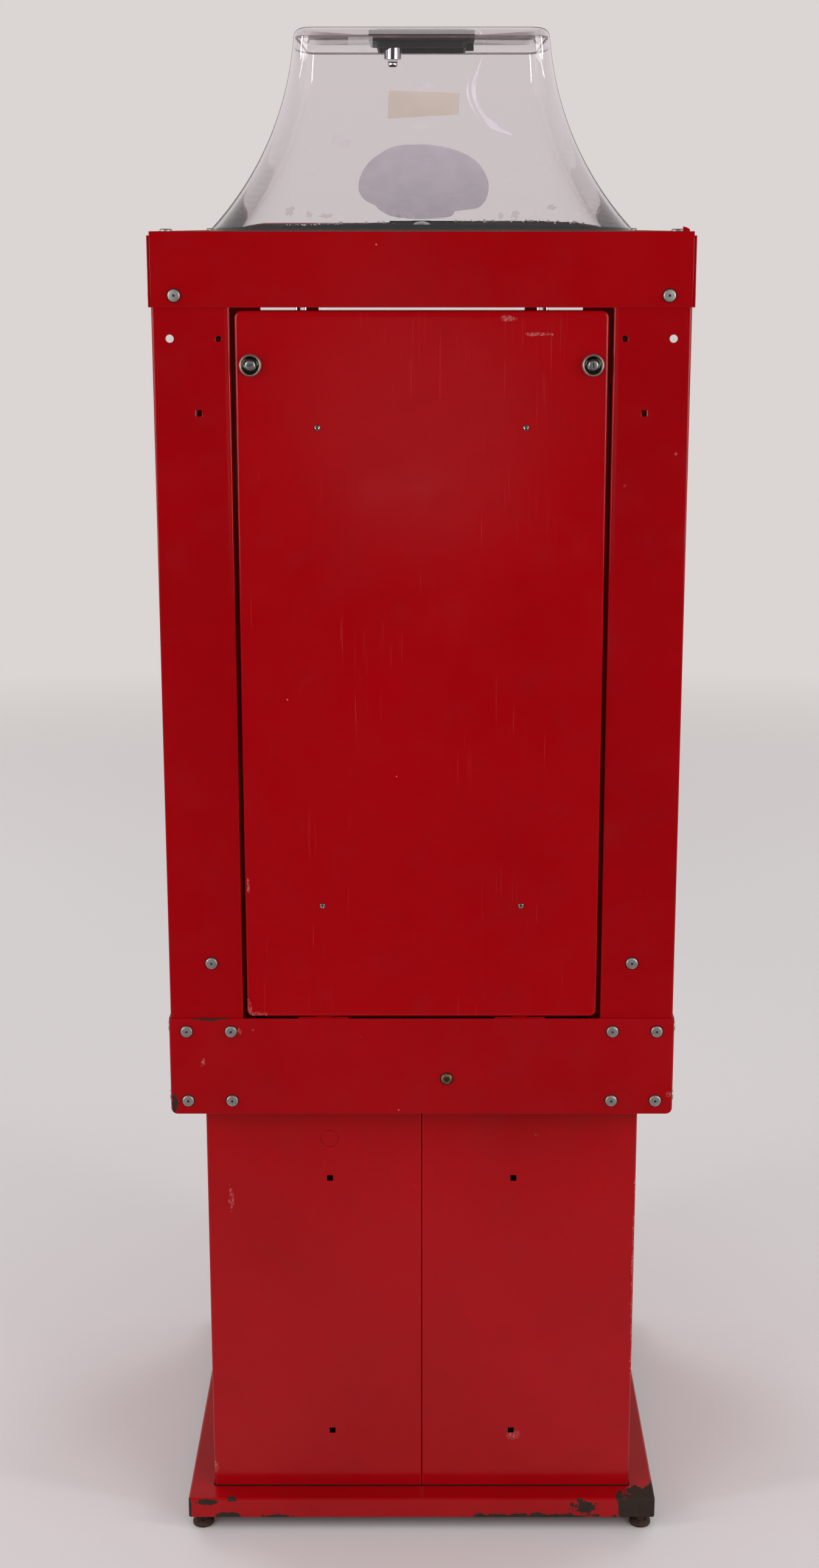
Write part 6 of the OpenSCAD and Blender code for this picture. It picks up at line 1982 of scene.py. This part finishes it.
@dataclass
class Fasteners:
    """The flat-headed bolts of the bands, the collar, the columns and the frame."""

    head: float = 14.2
    rise: float = 2.7
    shank: float = 3.1
    band_rows: tuple[float, float] = (583.0, 671.0)  # Heights of the bolts in the bands
    collar_row: float = 1531.0  # Height of the bolts in the collar
    odd_screw: tuple[float, float, float] = (-30.0, 302.0, 611.0)

    def bolt(self, grip: float) -> Shell:
        """A bolt along +Z with its nearly flat head on z = 0 and its nut at -grip.

        Args:
            grip: Thickness of what it clamps.

        Returns:
            The closed surfaces.
        """
        r = self.head / 2
        rim = eased(
            [(r - 2.2, self.rise, 0), (r - 0.5, self.rise - 0.3, 1.2), (r, 0.7, 0.6), (r, 0, 0)], 4
        )
        profile = np.vstack([[0, self.rise - 0.1], rim, [0, 0.0]])[::-1]
        shank = [(0, -grip - 7), (self.shank, -grip - 7), (self.shank, 0), (0, 0)]
        nut = [(0, -grip - 5), (5.6, -grip - 5), (6.35, -grip - 4.4), (6.35, -grip - 0.4),
               (5.6, -grip), (0, -grip)]
        return Shell.joined(revolved(profile, 28), revolved(shank, 10), revolved(nut, 6))

    def grime(self, width: float) -> Shell:
        """A flat dark ring round a head, from 6.9 mm out and of a given width: grime and painted
        contact shade.
        """
        foot = 6.9
        tip = foot + width
        return revolved([(foot, 0), (tip, 0), (tip - 0.2, 0.12), (foot, 0.12), (foot, 0)], 28)

    def marks(self, name: str, places: Array, turns: Array) -> None:
        """A rusty dimple in the middle of each head, and the grime and painted contact shade round
        it.

        Args:
            name: Name of the set.
            places: Places of the bolts.
            turns: Their directions.
        """
        low = self.rise - 0.4
        spot = revolved([(0, low), (1.7, low), (1.5, self.rise), (0, self.rise)], 12)
        add_piece(f"{name}_dimples", spot.repeated(places, turns), RUSTY)
        # The dark rings round the heads are grime and painted contact shade
        add_piece(f"{name}_grime", self.grime(1.0).repeated(places, turns), GRIME_AND_SHADE)

    def band_screw(self) -> None:
        """The odd screw of the lower band: rusty, with a rounded head and a round socket."""
        head = eased([
            (0, -8, 0), (3, -8, 0.1), (3, 0, 0.1), (7, 0, 0.1), (7, 0.6, 0.5), (5.6, 2.7, 1.0),
            (3.3, 3.0, 0.3), (3.25, 1.0, 0.2), (0, 1.0, 0),
        ], 4)
        socket = revolved([(0, 0.7), (3.2, 0.7), (3.2, 1.2), (0, 1.2)], 20)
        for name, shell, finish, nodes in (
            ("band_screw_turned", revolved(head, 32), OLIVE_RUST, ["rear_bolts"]),
            ("band_screw_socket", socket, RUSTY, []),
            # Grime and painted contact shade round the screw's head
            ("band_screw_grime_and_shade", self.grime(1.2), GRIME_AND_SHADE, []),
        ):
            there = shell.turned(Facing.REAR.value).moved(*self.odd_screw)
            add_piece(name, there, finish, stands_for=nodes)

    def build(self) -> None:
        """Places the bolts where the frame has them."""
        band, collar = self.band_rows, self.collar_row
        rear, cabinet = [], []
        for s, way in ((1, Facing.RIGHT), (-1, Facing.LEFT)):
            rear += [((s * x, 302, z), Facing.REAR, 4) for x in (281, 228) for z in band]
            rear += [((s * 274, 302, collar), Facing.REAR, 4)]
            rear += [((s * 249.5, 300, 756), Facing.REAR, 2)]
            rear += [((s * 302, 281, z), way, 6) for z in band]
            cabinet += [((s * 281, -302, z), Facing.FRONT, 4) for z in band]
            cabinet += [((s * 302, -y, z), way, 6) for y in (281, 228) for z in band]
            cabinet += [((s * 274, -303, collar), Facing.FRONT, 5)]
            cabinet += [((s * 303, y * 274, collar), way, 5) for y in (-1, 1)]
            cabinet += [((s * 283, y * 283, 1600), Facing.UP, 9) for y in (-1, 1)]
            cabinet += [((s * 133, y * 252, z), Facing.UP, 4) for y in (-1, 1) for z in (46, 570)]
        cabinet += [((2, y * 252, z), Facing.RIGHT, 4) for y in (-1, 1) for z in (194, 414)]
        for name, bolts in (("rear_bolts", rear), ("cabinet_bolts", cabinet)):
            places = np.array([place for place, _, _ in bolts], float)
            turns = np.array([way.value for _, way, _ in bolts], float)
            grips = np.array([grip for _, _, grip in bolts])
            shells = [
                self.bolt(grip).repeated(places[grips == grip], turns[grips == grip])
                for grip in np.unique(grips)
            ]
            add_piece(f"{name}_set", Shell.joined(*shells), DULL_ZINC, stands_for=[name])
            self.marks(name, places, turns)
        self.band_screw()


@dataclass
class Works:
    """The dispensing wheel, drive, spiral track, coin works and chute."""

    def build(self) -> None:
        """Dresses the inner pieces."""
        dress(DUSTY_BLACK, "dispensing_wheel", "pocket_guard")
        track = ("track_section_1", "track_section_2", "track_section_3")
        dress(WHITE, "ring_gear", *track, "exit_chute")
        dress(CHROME, "track_stays", "chute_frame", "chute_flap", "coin_plate", "coin_handle")
        dress(CHROME, "drive_rod")
        dress(ZINC, "track_clips", "coin_mech_body", "coin_shaft", "coin_gear", "crown_gear")
        dress(ZINC, "rod_pinion", "rod_bushes", "cash_tray")


@dataclass
class Studio:
    """Floor, backdrop, soft lamps and the camera."""

    back: str = "#DBD5D3"
    ground: str = "#DAD5D5"  # Colour of the floor
    fill: str = "#F4F2F4"  # Colour of the soft light from everywhere
    fill_strength: float = 0.42
    near_floor: str = "#2A2626"  # Colour of the floor behind the camera, in what the door mirrors
    camera_height: float = 1606.0
    camera_away: float = 2569.0  # Distance of the camera from the cabinet's rear face
    pitch: float = 13.8  # Downward tilt of the camera in degrees
    focal_px: float = 3735.0  # Focal length in pixels of the 2576-pixel-high photograph
    off_centre_px: float = 20.0  # How far right of the picture's middle the machine stands

    def build(self) -> None:
        """Sets up the stage."""
        self.world()
        self.floor()
        self.lamps()
        self.camera()
        bpy.context.scene.view_settings.view_transform = "Standard"

    def world(self) -> None:
        """The world: the backdrop where it is seen, a soft light, and the room that gloss shows.

        The room is the pale backdrop on the machine's far side and dim on the camera's side, as
        in a studio. A ray's way towards +Y sets the share.
        """
        world = bpy.data.worlds.new("studio")
        bpy.context.scene.world = world
        world.use_nodes = True
        tree = world.node_tree
        node = partial(add_node, tree)
        way = node(Kind.PLACE, output="Generated")
        ahead, up = node(Kind.PARTS, way, output="Y"), node(Kind.PARTS, way, output="Z")
        # Pale on the far side, less so straight ahead; dim on the camera's side and overhead
        pale = node(
            Kind.TIMES,
            node(Kind.RANGE, ahead, 0.3, -0.3, 0.02, 1.0),
            node(Kind.RANGE, ahead, -0.85, -0.99, 1.0, 0.4),
        )
        pale = node(Kind.TIMES, pale, node(Kind.RANGE, up, 0.15, 0.6, 1.0, 0.35))
        light = node(Kind.SKY, srgb(self.fill), self.fill_strength)
        room = node(Kind.SKY, srgb(self.back), pale)
        wall = node(Kind.SKY, srgb(self.back), 1.0)
        mix = node(Kind.EITHER, node(Kind.RAY, output="Is Glossy Ray"), light, room)
        mix = node(Kind.EITHER, self.seen(tree), mix, wall)
        feed(tree, tree.nodes["World Output"], {"Surface": mix})

    def seen(self, tree: Tree) -> Socket:
        """Adds an output that is 1 for the camera's rays, straight or through glass, else 0."""
        through = add_node(tree, Kind.RAY, output="Is Transmission Ray")
        return add_node(tree, Kind.LARGER, add_node(tree, Kind.RAY), through)

    def floor(self) -> None:
        """A wide plain floor that fades into the backdrop, and ends in gloss behind the camera."""
        mesh = bpy.data.meshes.new("floor")
        disc = revolved([(r, 0.0) for r in (0.0, 2.0, 4.0, 8.0, 30.0)], 64)
        mesh.from_pydata(disc.points.tolist(), [], disc.quads.tolist())
        material = bpy.data.materials.new("pale studio floor")
        material.use_nodes = True
        tree = material.node_tree
        shader = tree.nodes["Principled BSDF"]
        feed(tree, shader, {"Base Color": srgb(self.ground), "Roughness": 0.6})
        node = partial(add_node, tree)
        place = node(Kind.PLACE)
        gloss = node(Kind.RAY, output="Is Glossy Ray")
        # Away from the machine, what is seen or mirrored turns into the backdrop
        share = node(
            Kind.TIMES,
            node(Kind.RANGE, node(Kind.LENGTH, place), 2.2, 5.5),
            node(Kind.LARGER, self.seen(tree), gloss),
        )
        # Towards the camera, what the door mirrors turns dark
        ahead = node(Kind.RANGE, node(Kind.PARTS, place, output="Y"), 0.3, 1.9, 0.25, 1.0)
        ends = node(Kind.TIMES, ahead, gloss)
        mix = node(Kind.EITHER, share, shader.outputs[0], node(Kind.GLOW, srgb(self.back)))
        mix = node(Kind.EITHER, ends, mix, node(Kind.GLOW, srgb(self.near_floor)))
        feed(tree, tree.nodes["Material Output"], {"Surface": mix})
        mesh.materials.append(material)
        floor = bpy.data.objects.new("floor", mesh)
        bpy.context.scene.collection.objects.link(floor)

    def lamps(self) -> None:
        """Soft boxes at the sides and above, and the dim things that the door mirrors.

        The lamps above and in front aren't mirrored: the dome's walls would show them as blocks.
        """
        for name, place, aim, size, power, mirrored in (
            ("right key", (-2.7, 3.3, 2.1), (0, 0.2, 1.0), (2.0, 2.2), 46, True),
            ("left key", (2.7, 3.3, 2.1), (0, 0.2, 1.0), (2.0, 2.2), 38, True),
            ("right side", (-2.4, 1.2, 1.7), (0, 0.2, 1.2), (0.36, 1.7), 19, True),
            ("left side", (2.4, 1.2, 1.7), (0, 0.2, 1.2), (0.36, 1.7), 19, True),
            ("right front", (-2.6, -3.2, 2.6), (0, 0, 0.9), (2.0, 2.4), 40, False),
            ("left front", (2.6, -3.2, 2.6), (0, 0, 0.9), (2.0, 2.4), 50, False),
            ("top", (0.0, -0.2, 4.2), (0, 0, 0.8), (3.0, 3.0), 36, False),
            ("mirrored wall", (-0.02, 5.5, 0.98), (0, 0.3, 1.4), (0.80, 0.70), 0.42, True),
            ("mirrored table", (0.01, 5.4, 0.71), (0, 0.3, 1.4), (0.56, 0.17), 0.1, True),
            ("mirrored door", (0.36, 5.4, 1.10), (0, 0.3, 1.4), (0.09, 0.50), 0.03, True),
            ("mirrored lamp", (0.14, 5.4, 1.43), (0, 0.3, 1.5), (0.24, 0.15), 0.03, True),
        ):
            only_mirrored = power < 1
            data = bpy.data.lights.new(name, "AREA")
            data.shape = "ELLIPSE" if only_mirrored else "RECTANGLE"
            data.size, data.size_y = size
            data.energy = power
            lamp = bpy.data.objects.new(name, data)
            lamp.location = place
            lamp.visible_glossy = mirrored
            lamp.visible_transmission = mirrored and not only_mirrored
            way = np.array(aim, float) - np.array(place, float)
            pan = math.atan2(way[0], -way[1])
            tilt = math.atan2(math.hypot(way[0], way[1]), -way[2])
            lamp.rotation_euler = (tilt, 0.0, pan + math.pi)
            bpy.context.scene.collection.objects.link(lamp)

    def camera(self) -> None:
        """The camera behind the machine, level with its collar and tilted down."""
        height_px, sensor = 2576, 36.0
        data = bpy.data.cameras.new("photo_view")
        data.sensor_width = sensor
        data.lens = sensor * self.focal_px / height_px
        data.shift_x = -self.off_centre_px / height_px
        data.clip_end = 100.0
        camera = bpy.data.objects.new("photo_view", data)
        rear = Extent.of("right_rear_column").high[1]
        camera.location = (0.0, (rear + self.camera_away + AXIS_Y) * MM, self.camera_height * MM)
        camera.rotation_euler = (math.radians(90 - self.pitch), 0.0, math.pi)
        bpy.context.scene.collection.objects.link(camera)
        bpy.context.scene.camera = camera


def main() -> None:
    """Builds every sub-assembly in order."""
    logging.basicConfig(level=logging.INFO, format="%(message)s")
    Studio().build()
    for assembly in (Cabinet(), Pedestal(), Door(), HopperTop(), Fasteners(), Works()):
        LOG.info("building %s", type(assembly).__name__)
        assembly.build()


if __name__ == "__main__":
    main()
